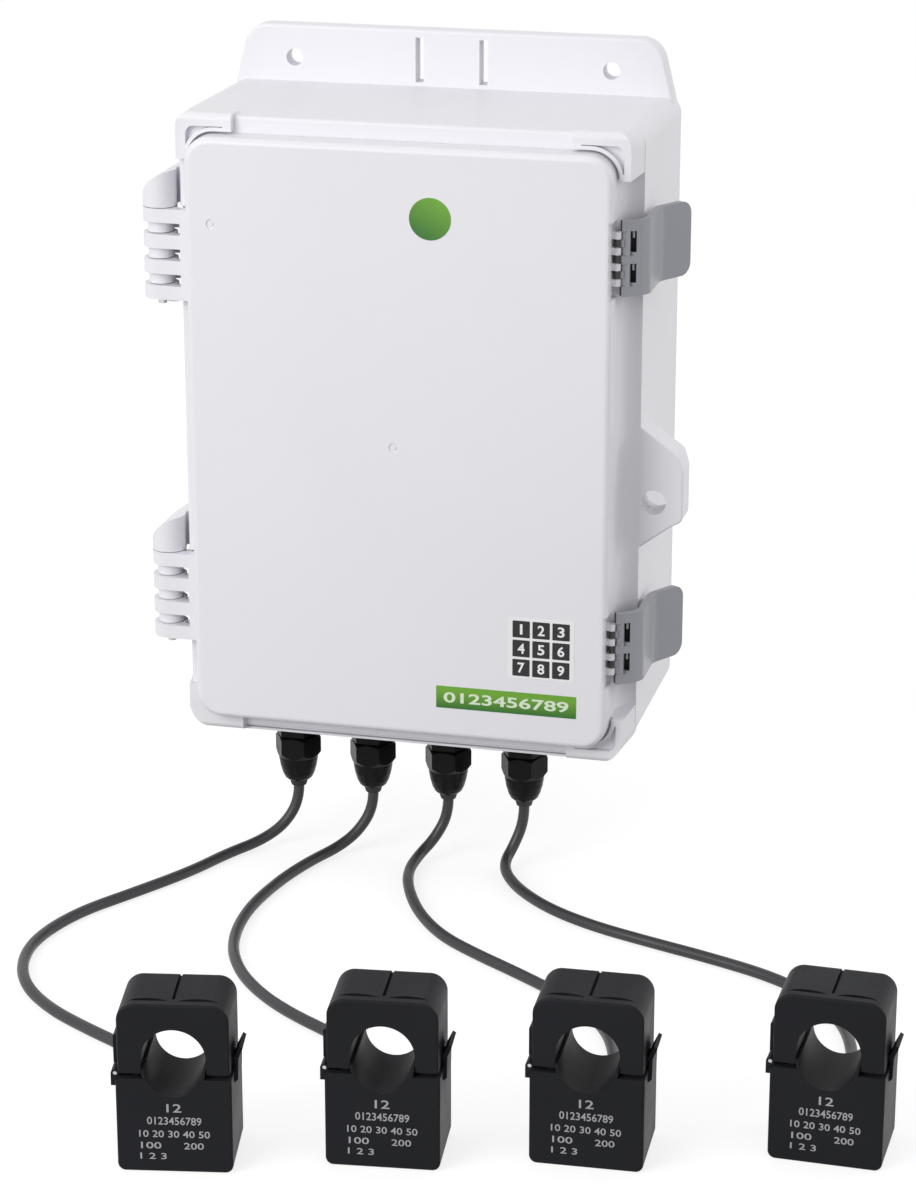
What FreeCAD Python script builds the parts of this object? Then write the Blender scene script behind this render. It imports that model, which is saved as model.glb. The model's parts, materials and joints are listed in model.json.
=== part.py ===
import FreeCAD, Part
import math
import os

# A power failure alarm: a wall enclosure with a hinged cover and two side latches, four cable
# glands under it, and four cables that each end in a split-core current transformer.
#
# Millimetres. X runs to the right, Y from the viewer to the wall and Z up. The wall is the plane
# Y = 0. A depth is a distance from the wall towards the viewer, so depth 90 lies at Y = -90.

Vector = FreeCAD.Vector
X_AXIS = Vector(1, 0, 0)
Y_AXIS = Vector(0, 1, 0)
Z_AXIS = Vector(0, 0, 1)

# Cover
COVER_WIDTH = 149.6
COVER_HEIGHT = 210.4
COVER_SHIFT = 1.0
COVER_CORNER = 9.0
COVER_DEPTH = 9.5
COVER_SKIN = 3.0
COVER_SKIRT = 2.7
COVER_EDGE_ROUND = 2.2
COVER_GAP = 0.4
GATE_MARK_RADIUS = 1.7
GATE_MARK_DEPTH = 0.4
GATE_MARKS = [(0.0, 0.0), (-64.3, 75.3)]

# Case
CASE_DEPTH = 80.5
CASE_WALL = 3.0
CASE_BACK = 3.0
CASE_CORNER = 6.5
SIDE_STEP = 7.2
TOP_STEP = 4.8
TOP_RISE = 1.2
SIDE_SETBACK = 14.5
NECK_CORNER = 6.0
NECK_UNDERCUT = 0.3
BAND_ROUND = 1.2
LIP_DROP = 1.4
LIP_GROOVE = 0.6
LIP_GROOVE_DEPTH = 3.0
LIP_SETBACK = 0.5
LIP_THICKNESS = 6.0
RIM_SHELF = 4.0
BITE = 1.0

# Seal between case and cover
GASKET_CHANNEL = 3.6
GASKET_HEIGHT = 4.0
GASKET_SLACK = 0.3
TONGUE_WIDTH = 2.0
TONGUE_SLACK = 0.9
CHANNEL_RIB = 1.8
CHANNEL_RIB_HEIGHT = 5.0

# Corner guards
GUARD_OUT = 4.7
GUARD_LENGTH = 20.0
GUARD_DROP = 14.0
GUARD_RISE = 2.5
GUARD_SETBACK = 6.7
GUARD_CREST = 12.0
GUARD_CORNER = 5.5
LOWER_GUARD_CORNER = 9.5
GUARD_ROUND = 2.5
GUARD_GAP = 0.9
GUARD_POCKET = 2.5
GUARD_POCKET_CORNER = 3.0
GUARD_RIM = 1.3
GUARD_FRAME_TOP = 4.8
GUARD_FRAME_RIGHT = 2.3
GUARD_FRAME_LEFT = 3.6
GUARD_FRAME_END = 3.0
GUARD_FRAME_FOOT = 2.2

# Wall flange
FLANGE_THICKNESS = 7.0
FLANGE_RISE = 20.3
FLANGE_TOP_WIDTH = 150.0
FLANGE_CORNER = 9.0
FLANGE_HOLE_SPACING = 116.2
FLANGE_HOLE_RADIUS = 3.1
FLANGE_HOLE_RISE = 8.6
SLOT_SPACING = 23.4
SLOT_WIDTH = 3.0
SLOT_HEIGHT = 16.0
SLOT_RISE = 9.5

# Ear on the right side
EAR_THICKNESS = 12.0
EAR_REACH = 15.2
EAR_Z = -20.5
EAR_HOLE_RADIUS = 4.4
EAR_HOLE_OUT = 4.9

# Cover hinges on the left side
HINGE_OUT = 4.0
HINGE_SETBACK = 1.5
HINGE_RADIUS = 6.0
KNUCKLE_RADIUS = 4.4
LEAF_OUT = 3.4
LEAF_LIFT = 0.8
HINGE_POCKET = 6.0
HINGE_POCKET_WALL = 1.1
HINGE_WEB = 6.0
HINGE_WEB_CORNER = 2.0
HINGE_PIN_RADIUS = 1.5
HINGE_BORE_GAP = 0.05
HINGE_Z = 62.4
FINGER_COUNT = 4
FINGER_PITCH = 9.05
FINGER_HEIGHT = 4.9
KNUCKLE_GAP = 0.3
END_KNUCKLE = 3.2
FOOT_BOWL_RADIUS = 9.6
FOOT_BOWL_SHIFT = 2.0
GUSSET_RISE = 9.5

# Latches on the right side
LATCH_Z = 69.5
LATCH_HEIGHT = 26.0
LATCH_SHEET = 2.2
LATCH_PIVOT_OUT = 0.4
LATCH_PIVOT_RISE = 2.5
LATCH_BARREL_RADIUS = 1.3
LATCH_PIN_RADIUS = 0.6
LATCH_FINGER = 2.4
LATCH_FINGER_GAP = 3.0
LATCH_FINGER_COUNT = 4
LATCH_CLEARANCE = 0.4
LATCH_REACH = 10.0
LATCH_BACK = 25.0
LATCH_TAB_REACH = 18.2
LATCH_TAB_BACK = 38.0
LATCH_TAB_ROUND = 4.5
CATCH_OUT = 1.7
CATCH_LENGTH = 18.0
CATCH_THICKNESS = 3.0
CATCH_BACK = 22.0

# Cable glands under the case
GLAND_SETBACK = 11.0
GLAND_PITCH = 28.5
GLAND_ROW_X = -3.6
GLAND_COUNT = 4
GLAND_THREAD_RADIUS = 6.25
GLAND_FLATS = 15.0
GLAND_LOCKNUT_FLATS = 17.0
GLAND_WASHER = 1.2
GLAND_COLLAR = 5.0
GLAND_COLLAR_RADIUS = 7.0
GLAND_FLANGE = 5.5
GLAND_NUT_GAP = 0.8
GLAND_NUT_HEX = 7.2
GLAND_CROWN = 10.2
GLAND_NOSE = 2.6
GLAND_LOCKNUT = 4.5
GLAND_FIT = 0.1

# Cables
CABLE_RADIUS = 2.0
CABLE_FIT = 0.05

# Parts on the mounting plate
PLATE_WIDTH = 136.0
PLATE_HEIGHT = 184.0
PLATE_Z = 4.0
PLATE_SHEET = 1.5
BOSS_HEIGHT = 6.0
BOSS_RADIUS = 5.0
BOSS_INSET = 8.0
PLATE_SCREW_RADIUS = 1.9
PLATE_SCREW_HEAD = 3.6
SCREW_FIT = 0.1
BOARD_WIDTH = 110.0
BOARD_HEIGHT = 90.0
BOARD_X = -5.0
BOARD_Z = -17.0
BOARD_SHEET = 1.6
BOARD_INSET = 5.0
STANDOFF_HEIGHT = 8.0
STANDOFF_FLATS = 5.5
BOARD_SCREW_RADIUS = 1.4
BOARD_SCREW_HEAD = 2.8
CELL_RADIUS = 7.1
CELL_LENGTH = 50.0
CELL_COUNT = 4
CELL_TIP = 1.5
CELL_TIP_RADIUS = 2.7
HOLDER_WALL = 1.5
HOLDER_ROOM = 0.4
HOLDER_SPRINGS = 4.5
HOLDER_GAP = 6.0
PLUG_WIDTH = 8.0
PLUG_HEIGHT = 6.0
PLUG_DEPTH = 5.8
PLUG_INSET = 2.0
WIRE_RADIUS = 0.8
WIRE_STEP = 1.6
WIRE_RISE = 1.4
TERMINAL_POLE = 10.0
TERMINAL_HEIGHT = 12.0
TERMINAL_DEPTH = 12.0
TERMINAL_INSET = 2.0
ANTENNA_FOOT = 7.0
ANTENNA_FOOT_DEPTH = 8.0
ANTENNA_INSET = 7.0
ANTENNA_DROP = 20.0
ANTENNA_LENGTH = 50.0
ANTENNA_RADIUS = 2.6
ANTENNA_STEM = 6.0
ANTENNA_STEM_RADIUS = 1.6
ANTENNA_STEM_DEPTH = 4.5
BUZZER_RADIUS = 6.0
BUZZER_HEIGHT = 9.0
BUZZER_PORT_RADIUS = 1.1
BUZZER_INSET = 18.0
CAPACITOR_RADIUS = 5.0
CAPACITOR_HEIGHT = 12.5
CAPACITOR_PITCH = 12.0
CAPACITOR_INSET = 16.0
PROCESSOR_WIDTH = 12.0
PROCESSOR_HEIGHT = 1.4
RADIO_SHIFT = 22.0
RADIO_RISE = 20.0
RADIO_WIDTH = 18.0
RADIO_LENGTH = 26.0
RADIO_SHEET = 0.8
RADIO_CAN = 2.4
LAMP_RADIUS = 1.5
LAMP_FLANGE_RADIUS = 1.9
LAMP_HEIGHT = 4.2
LAMP_GAP = 6.0
BUTTON_RADIUS = 3.2
BUTTON_TRAVEL = 0.8
BUTTON_FIT = 0.2
BUTTON_HOUSING = 12.0
BUTTON_X = 32.0
BUTTON_Z = -30.0

# Current transformers: place of the front bottom edge's middle, and turn about Z
FLOOR_Z = -166.0
CT_PLACES = [(-10.5, -311.0, 10.5), (49.7, -293.5, 6.5), (109.5, -278.7, 2.5), (179.5, -259.4, -1.5)]
CT_WIDTH = 35.2
CT_DEPTH = 26.5
CT_BASE_HEIGHT = 31.0
CT_HEIGHT = 55.0
CT_WALL = 1.3
CT_SPLIT_GAP = 1.3
CT_CAP_INSET = 0.6
CT_BORE_RADIUS = 8.9
CT_BORE_Z = 34.0
CT_SLEEVE = 0.8
CT_ARCH_RADIUS = 9.9
CT_ARCH_LINING = 0.5
CT_LIP = 0.7
CT_LIP_RISE = 2.0
CT_LIP_GAP = 0.3
CT_ARCH_Z = 37.0
CT_ROUND = 5.5
CT_FOOT_ROUND = 2.5
CT_LEDGE = 1.0
CT_HINGE_OUT = 0.3
CT_HINGE_RADIUS = 1.3
CT_HINGE_PIN_RADIUS = 0.6
CT_HINGE_CLEARANCE = 0.3
CT_KNUCKLE = 6.0
CORE_DEPTH = 12.0
CORE_GAP = 0.2
COIL_HEIGHT = 10.5
COIL_LENGTH = 17.0
BOOT_LENGTH = 8.0
BOOT_Z = 5.0
BOOT_RADIUS = 3.6
BOOT_TIP_RADIUS = 2.7

# Cable routes as points chosen by hand. Each starts under its gland, after a straight drop, and
# ends behind its transformer, before a straight stretch into the boot.
CABLE_DROP = 6.5
CABLE_LEAD_IN = 9.0
FLOOR_CABLE_Z = FLOOR_Z + CABLE_RADIUS
ROUTE_1 = [(-51.0, -58.6, -157.8), (-58.6, -64.6, -162.8),
           (-67.6, -76.0, FLOOR_CABLE_Z), (-76.0, -96.0, FLOOR_CABLE_Z), (-89.5, -118.5, FLOOR_CABLE_Z),
           (-103.5, -140.5, FLOOR_CABLE_Z), (-110.0, -164.5, FLOOR_CABLE_Z), (-107.8, -184.5, FLOOR_CABLE_Z),
           (-99.5, -202.0, FLOOR_CABLE_Z), (-85.5, -216.5, FLOOR_CABLE_Z), (-68.7, -227.5, FLOOR_CABLE_Z),
           (-53.5, -236.2, FLOOR_CABLE_Z), (-39.0, -245.0, FLOOR_CABLE_Z), (-26.5, -255.5, FLOOR_CABLE_Z + 0.5),
           (-19.0, -267.0, FLOOR_CABLE_Z + 2.0)]
ROUTE_2 = [(-22.6, -58.0, -157.8), (-29.0, -63.6, -162.8),
           (-36.4, -76.0, FLOOR_CABLE_Z), (-42.4, -97.0, FLOOR_CABLE_Z), (-46.0, -124.5, FLOOR_CABLE_Z),
           (-42.8, -151.8, FLOOR_CABLE_Z), (-33.8, -172.3, FLOOR_CABLE_Z), (-21.2, -188.3, FLOOR_CABLE_Z),
           (-7.0, -200.6, FLOOR_CABLE_Z), (9.2, -211.0, FLOOR_CABLE_Z), (22.8, -220.5, FLOOR_CABLE_Z),
           (34.6, -232.0, FLOOR_CABLE_Z + 0.5), (42.4, -246.0, FLOOR_CABLE_Z + 2.0)]
ROUTE_3 = [(6.4, -58.0, -157.8), (1.6, -64.2, -162.8),
           (0.8, -76.4, FLOOR_CABLE_Z), (5.0, -92.0, FLOOR_CABLE_Z), (14.0, -111.6, FLOOR_CABLE_Z),
           (26.6, -128.6, FLOOR_CABLE_Z), (42.0, -140.4, FLOOR_CABLE_Z), (56.9, -150.4, FLOOR_CABLE_Z),
           (71.4, -160.8, FLOOR_CABLE_Z), (86.0, -172.5, FLOOR_CABLE_Z), (97.4, -188.0, FLOOR_CABLE_Z),
           (103.8, -206.0, FLOOR_CABLE_Z + 0.5), (107.2, -226.0, FLOOR_CABLE_Z + 2.0)]
ROUTE_4 = [(36.0, -57.6, -158.0), (33.6, -62.6, -162.8),
           (36.6, -71.6, FLOOR_CABLE_Z), (45.0, -84.4, FLOOR_CABLE_Z), (58.6, -97.4, FLOOR_CABLE_Z),
           (76.6, -108.0, FLOOR_CABLE_Z), (98.0, -116.2, FLOOR_CABLE_Z), (120.6, -124.2, FLOOR_CABLE_Z),
           (143.6, -134.0, FLOOR_CABLE_Z), (160.4, -147.0, FLOOR_CABLE_Z), (171.6, -163.6, FLOOR_CABLE_Z),
           (177.6, -182.6, FLOOR_CABLE_Z + 0.5), (180.0, -204.0, FLOOR_CABLE_Z + 2.0)]
ROUTES = [ROUTE_1, ROUTE_2, ROUTE_3, ROUTE_4]

# Places that follow from the sizes above
COVER_FRONT = CASE_DEPTH + COVER_DEPTH
CASE_WIDTH = COVER_WIDTH + 2 * SIDE_STEP
CASE_HEIGHT = COVER_HEIGHT + 2 * TOP_STEP
SIDE_DEPTH = CASE_DEPTH - SIDE_SETBACK
RIM_DEPTH = CASE_DEPTH - COVER_GAP
COVER_LEFT = COVER_SHIFT - COVER_WIDTH / 2
COVER_RIGHT = COVER_SHIFT + COVER_WIDTH / 2
NECK_LEFT = COVER_LEFT - GUARD_OUT
NECK_RIGHT = COVER_RIGHT - NECK_UNDERCUT
GUARD_DEPTH = COVER_FRONT - GUARD_SETBACK
GUARD_TOP = CASE_HEIGHT / 2 + GUARD_RISE
GUARD_FOOT = CASE_HEIGHT / 2 - GUARD_DROP
HINGE_X = -(CASE_WIDTH / 2 + HINGE_OUT)
HINGE_DEPTH = CASE_DEPTH - HINGE_SETBACK
HINGE_STACK = FINGER_PITCH * (FINGER_COUNT - 1) + FINGER_HEIGHT
LATCH_X = COVER_RIGHT + LATCH_PIVOT_OUT
LATCH_DEPTH = CASE_DEPTH + LATCH_PIVOT_RISE
TONGUE_TOP = COVER_FRONT - COVER_SKIN - GASKET_HEIGHT
GLAND_DEPTH = SIDE_DEPTH - GLAND_SETBACK
GLAND_XS = [GLAND_ROW_X + GLAND_PITCH * (i - (GLAND_COUNT - 1) / 2) for i in range(GLAND_COUNT)]
CASE_BOTTOM = -CASE_HEIGHT / 2
GLAND_FLANGE_TOP = CASE_BOTTOM - GLAND_WASHER
GLAND_HEX_TOP = GLAND_FLANGE_TOP - GLAND_COLLAR
GLAND_NUT_TOP = GLAND_HEX_TOP - GLAND_FLANGE - GLAND_NUT_GAP
GLAND_HEX_END = GLAND_NUT_TOP - GLAND_NUT_HEX
GLAND_CROWN_END = GLAND_HEX_END - GLAND_CROWN
GLAND_MOUTH = GLAND_CROWN_END - GLAND_NOSE
PLATE_BACK = CASE_BACK + BOSS_HEIGHT
PLATE_FRONT = PLATE_BACK + PLATE_SHEET
BOARD_BACK = PLATE_FRONT + STANDOFF_HEIGHT
BOARD_FRONT = BOARD_BACK + BOARD_SHEET
BOARD_TOP = BOARD_Z + BOARD_HEIGHT / 2
BOARD_LEFT = BOARD_X - BOARD_WIDTH / 2
BOARD_RIGHT = BOARD_X + BOARD_WIDTH / 2
PLUG_TOP = BOARD_TOP - PLUG_INSET
HOLDER_BOTTOM = BOARD_TOP + HOLDER_GAP
HOLDER_Z = HOLDER_BOTTOM + HOLDER_WALL + HOLDER_ROOM + CELL_COUNT * CELL_RADIUS
TERMINAL_BOTTOM = BOARD_Z - BOARD_HEIGHT / 2 + TERMINAL_INSET
TERMINAL_XS = [BOARD_X + 2 * TERMINAL_POLE * (i - (GLAND_COUNT - 1) / 2) for i in range(GLAND_COUNT)]
CT_CAP_BOTTOM = CT_BASE_HEIGHT + CT_SPLIT_GAP
CT_CAP_CEILING = CT_HEIGHT - CT_WALL - 2.5
CT_LIP_X = CT_WIDTH / 2 - CT_CAP_INSET - CT_WALL - CT_LIP_GAP
CORE_OUTER = CT_LIP_X - CT_LIP - CORE_GAP
CORE_LEG = CORE_OUTER - CT_ARCH_RADIUS - CT_ARCH_LINING - CORE_GAP
CT_HINGE_X = -(CT_WIDTH / 2 + CT_HINGE_OUT)
CT_HINGE_Z = CT_BASE_HEIGHT + CT_SPLIT_GAP / 2
CORE_SPLIT_Z = CT_BASE_HEIGHT + CT_SPLIT_GAP / 2


# Helpers

def brick(x0, x1, y0, y1, z0, z1):
    return Part.makeBox(x1 - x0, y1 - y0, z1 - z0, Vector(x0, y0, z0))


def block(x0, x1, near, far, z0, z1):
    """A block between two depths from the wall."""
    return brick(x0, x1, -far, -near, z0, z1)


def upright(radius, x, depth, z0, z1):
    """A cylinder along Z."""
    return Part.makeCylinder(radius, z1 - z0, Vector(x, -depth, z0), Z_AXIS)


def post(radius, x, z, near, far):
    """A cylinder that stands out from the wall."""
    return Part.makeCylinder(radius, far - near, Vector(x, -near, z), -Y_AXIS)


def outline(corners, place):
    """A face inside (u, v, radius) corners; place(u, v) puts each point in space."""
    count = len(corners)
    points = [Vector(u, v, 0) for u, v, radius in corners]
    edges = []
    first = None
    last = None
    for i in range(count):
        here = points[i]
        radius = corners[i][2]
        start = here
        end = here
        if radius > 0:
            back = (points[i - 1] - here).normalize()
            onward = (points[(i + 1) % count] - here).normalize()
            half = back.getAngle(onward) / 2
            start = here + back * (radius / math.tan(half))
            end = here + onward * (radius / math.tan(half))
            middle = here + (back + onward).normalize() * (radius / math.sin(half) - radius)
        if first is None:
            first = start
        else:
            edges.append(Part.LineSegment(place(last.x, last.y), place(start.x, start.y)).toShape())
        if radius > 0:
            arc = Part.Arc(place(start.x, start.y), place(middle.x, middle.y), place(end.x, end.y))
            edges.append(arc.toShape())
        last = end
    edges.append(Part.LineSegment(place(last.x, last.y), place(first.x, first.y)).toShape())
    return Part.Face(Part.Wire(edges))


def panel(corners, near, far):
    """An (x, z, radius) outline, between two depths."""
    return outline(corners, lambda x, z: Vector(x, -near, z)).extrude(Vector(0, near - far, 0))


def bar(corners, z0, z1):
    """An (x, depth, radius) outline, between two heights."""
    return outline(corners, lambda x, depth: Vector(x, -depth, z0)).extrude(Vector(0, 0, z1 - z0))


def framed(left, right, foot, top, corner):
    """The corners of an upright rectangle."""
    return [(left, foot, corner), (right, foot, corner), (right, top, corner), (left, top, corner)]


def slab(width, height, corner, near, far):
    """A plate with round corners, centred on the case."""
    return panel(framed(-width / 2, width / 2, -height / 2, height / 2, corner), near, far)


def cover_slab(inset, near, far):
    """The cover's outline, drawn in by inset (or grown, where it is negative)."""
    h = COVER_HEIGHT / 2 - inset
    return panel(framed(COVER_LEFT + inset, COVER_RIGHT - inset, -h, h, COVER_CORNER - inset), near, far)


def drafted(near_corners, near, far_corners, far):
    """A block whose outline changes evenly from one depth to another."""
    ends = []
    for corners, depth in ((near_corners, near), (far_corners, far)):
        ends.append(outline(corners, lambda x, z: Vector(x, -depth, z)).OuterWire)
    return Part.makeLoft(ends, True, True)


def lengthwise(corners, x0, x1):
    """A (depth, z, radius) outline, between two places along X."""
    return outline(corners, lambda depth, z: Vector(x0, -depth, z)).extrude(Vector(x1 - x0, 0, 0))


def hexagon(flats, x, depth, z0, z1):
    """A six-sided prism along Z, with a flat to the front."""
    reach = flats / math.sqrt(3)
    corners = []
    for i in range(6):
        angle = math.radians(60 * i)
        corners.append((x + reach * math.cos(angle), depth + reach * math.sin(angle), 0))
    return bar(corners, z0, z1)


def hexagon_post(flats, x, z, near, far):
    reach = flats / math.sqrt(3)
    corners = []
    for i in range(6):
        angle = math.radians(60 * i)
        corners.append((x + reach * math.cos(angle), z + reach * math.sin(angle), 0))
    return panel(corners, near, far)


def turned(profile, x, depth):
    """A (radius, z) profile turned about an upright axis."""
    points = [Vector(x + r, -depth, z) for r, z in profile]
    face = Part.Face(Part.makePolygon(points + points[:1]))
    return face.revolve(Vector(x, -depth, 0), Z_AXIS, 360)


def fuse(first, *others):
    return first.multiFuse(list(others)).removeSplitter()


def cut(shape, *tools):
    for tool in tools:
        shape = shape.cut(tool)
    return shape


def edges_along(shape, direction, wanted):
    """The straight edges along a direction whose middle point is wanted."""
    found = []
    for edge in shape.Edges:
        if edge.Curve.TypeId != "Part::GeomLine":
            continue
        span = edge.Vertexes[-1].Point - edge.Vertexes[0].Point
        if span.cross(direction).Length < 1e-6 * span.Length and wanted(edge.CenterOfMass):
            found.append(edge)
    return found


def mirrored_x(shape):
    return shape.mirror(Vector(0, 0, 0), X_AXIS)


def mirrored_z(shape):
    return shape.mirror(Vector(0, 0, 0), Z_AXIS)


def save(name, *shapes):
    """Write one node. Several separate solids make a group."""
    solids = [solid for shape in shapes for solid in shape.Solids]
    for solid in solids:
        if not solid.isValid() or solid.Volume <= 0:
            raise ValueError(name + " holds a bad solid")
    whole = solids[0] if len(solids) == 1 else Part.makeCompound(solids)
    whole.exportStep("parts/" + name + ".step")
    print(name, len(solids), round(sum(solid.Volume for solid in solids), 1))


def round_path(points):
    """Straight runs joined by tangent arcs, as large as their two runs allow."""
    edges = []
    radii = []
    last = points[0]
    for i in range(1, len(points) - 1):
        here = points[i]
        back = points[i - 1] - here
        onward = points[i + 1] - here
        shorter = min(back.Length, onward.Length)
        back.normalize()
        onward.normalize()
        half_turn = (math.pi - back.getAngle(onward)) / 2
        setback = 0.45 * shorter
        radius = setback / math.tan(half_turn)
        radii.append(radius)
        start = here + back * setback
        end = here + onward * setback
        to_middle = radius / math.cos(half_turn) - radius
        middle = here + (back + onward).normalize() * to_middle
        edges.append(Part.LineSegment(last, start).toShape())
        edges.append(Part.Arc(start, middle, end).toShape())
        last = end
    edges.append(Part.LineSegment(last, points[-1]).toShape())
    return Part.Wire(edges), radii


def tube(name, points, radius):
    path, radii = round_path(points)
    ring = Part.Circle(points[0], points[1] - points[0], radius)
    pipe = path.makePipeShell([Part.Wire(ring.toShape())], True, False)
    solid = pipe.Solids[0]
    share = solid.Volume / (math.pi * radius ** 2 * path.Length)
    print(name, "length", round(path.Length, 1), "volume / section x length", round(share, 4),
          "radii", [round(r, 1) for r in radii])
    return solid


# Case

def case_top(depth):
    """The top of the case rises a little towards the front."""
    return CASE_HEIGHT / 2 + TOP_RISE * depth / RIM_DEPTH


def cove(outer, inner):
    """The hollow curve from a side wall in to the neck behind the cover."""
    step = abs(outer - inner)
    reach = step * (1 - math.sqrt(0.5))
    way = 1 if outer > 0 else -1
    a = Vector(outer, -SIDE_DEPTH, CASE_BOTTOM)
    b = Vector(inner, -SIDE_DEPTH - step, CASE_BOTTOM)
    middle = Vector(inner + way * reach, -SIDE_DEPTH - reach, CASE_BOTTOM)
    corner = Vector(inner, -SIDE_DEPTH, CASE_BOTTOM)
    edges = [Part.Arc(a, middle, b).toShape(), Part.LineSegment(b, corner).toShape(),
             Part.LineSegment(corner, a).toShape()]
    return Part.Face(Part.Wire(edges)).extrude(Vector(0, 0, CASE_HEIGHT))


def guard(side, corner):
    """A block round an upper corner of the cover; side is 1 at the right, -1 at the left."""
    back = SIDE_DEPTH - 2 * BITE
    crest = GUARD_DEPTH - GUARD_CREST
    outer = COVER_SHIFT + side * (COVER_WIDTH / 2 + GUARD_OUT)
    inner = outer - side * GUARD_LENGTH
    wall = side * CASE_WIDTH / 2
    body = drafted([(inner, GUARD_FOOT, 0), (wall, GUARD_FOOT, 0), (wall, case_top(back), CASE_CORNER),
                    (inner, case_top(back), 0)], back,
                   [(inner, GUARD_FOOT, 0), (outer, GUARD_FOOT, 0), (outer, GUARD_TOP, corner),
                    (inner, GUARD_TOP, 0)], GUARD_DEPTH)
    shape = lengthwise([(back, GUARD_FOOT - BITE, 0), (GUARD_DEPTH, GUARD_FOOT - BITE, 0),
                        (GUARD_DEPTH, GUARD_TOP, GUARD_ROUND), (crest, case_top(crest), 0),
                        (back, case_top(back), 0)], min(inner, wall) - BITE, max(inner, wall) + BITE)
    return body.common(shape)


def guard_pocket(side):
    """The pocket in a guard's face, between its outer frame and the rim round the cover."""
    outer = COVER_SHIFT + side * (COVER_WIDTH / 2 + GUARD_OUT)
    end = outer - side * (GUARD_LENGTH - GUARD_FRAME_END)
    edge = outer - side * (GUARD_FRAME_RIGHT if side > 0 else GUARD_FRAME_LEFT)
    foot = GUARD_FOOT + GUARD_FRAME_FOOT
    top = GUARD_TOP - GUARD_FRAME_TOP
    pocket = panel([(end, foot, 0), (edge, foot, 0), (edge, top, GUARD_POCKET_CORNER), (end, top, 0)],
                   GUARD_DEPTH - GUARD_POCKET, COVER_FRONT)
    return cut(pocket, cover_slab(-GUARD_GAP - GUARD_RIM, SIDE_DEPTH, COVER_FRONT))


def flange():
    top = CASE_HEIGHT / 2 + FLANGE_RISE
    half_top = FLANGE_TOP_WIDTH / 2
    half_base = CASE_WIDTH / 2 - 0.4
    foot = CASE_HEIGHT / 2 - CASE_CORNER
    body = panel([(-half_base, foot, 0), (half_base, foot, 0), (half_top, top, FLANGE_CORNER),
                  (-half_top, top, FLANGE_CORNER)], 0, FLANGE_THICKNESS)
    rim = [edge for edge in body.Edges
           if abs(edge.CenterOfMass.y + FLANGE_THICKNESS) < 1e-6 and edge.CenterOfMass.z > foot + 1]
    body = body.makeFillet(1.0, rim)
    hole_z = CASE_HEIGHT / 2 + FLANGE_HOLE_RISE
    slot_z = CASE_HEIGHT / 2 + SLOT_RISE
    half_slot = SLOT_WIDTH / 2
    for side in (-1, 1):
        x = side * SLOT_SPACING / 2
        hole = post(FLANGE_HOLE_RADIUS, side * FLANGE_HOLE_SPACING / 2, hole_z, -1, FLANGE_THICKNESS + 1)
        slot = block(x - half_slot, x + half_slot, -1, FLANGE_THICKNESS + 1,
                     slot_z - SLOT_HEIGHT / 2, slot_z + SLOT_HEIGHT / 2)
        body = cut(body, hole, slot)
    return body


def ear():
    """The ear with a round hole on the right side, for a seal, a tie or a padlock."""
    wall = CASE_WIDTH / 2
    tip = wall + EAR_REACH
    body = panel([(wall - 2, EAR_Z + 28.5, 0), (tip - 1.7, EAR_Z + 17.5, 4.0), (tip, EAR_Z + 12.0, 3.0),
                  (tip, EAR_Z - 6.5, 3.0), (tip - 4.0, EAR_Z - 8.5, 2.0), (wall - 2, EAR_Z - 18.5, 0)],
                 SIDE_DEPTH - EAR_THICKNESS, SIDE_DEPTH)
    rim = [edge for edge in body.Edges
           if abs(edge.CenterOfMass.y + SIDE_DEPTH) < 1e-6 and edge.CenterOfMass.x > wall]
    body = body.makeFillet(0.8, rim)
    hole = post(EAR_HOLE_RADIUS, wall + EAR_HOLE_OUT, EAR_Z, SIDE_DEPTH - EAR_THICKNESS - 1, SIDE_DEPTH + 1)
    return cut(body, hole)


def knuckle(radius, z0, z1):
    """A case knuckle: a ring round the hinge pin on a web that grows out of the side wall."""
    wall = -CASE_WIDTH / 2
    floor = RIM_DEPTH - HINGE_POCKET
    outer = HINGE_X - radius
    ring = upright(radius, HINGE_X, HINGE_DEPTH, z0, z1)
    web = bar([(outer, HINGE_DEPTH, 0), (outer, HINGE_DEPTH - HINGE_WEB, HINGE_WEB_CORNER),
               (wall, SIDE_DEPTH - HINGE_WEB, 0), (wall + CASE_WALL, SIDE_DEPTH - HINGE_WEB, 0),
               (NECK_LEFT + BITE, SIDE_DEPTH + BITE, 0), (NECK_LEFT + BITE / 2, floor - BITE / 2, 0),
               (HINGE_X + radius - BITE, floor, 0), (HINGE_X + radius, HINGE_DEPTH, 0)],
              z0, z1)
    return fuse(ring, web)


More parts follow.
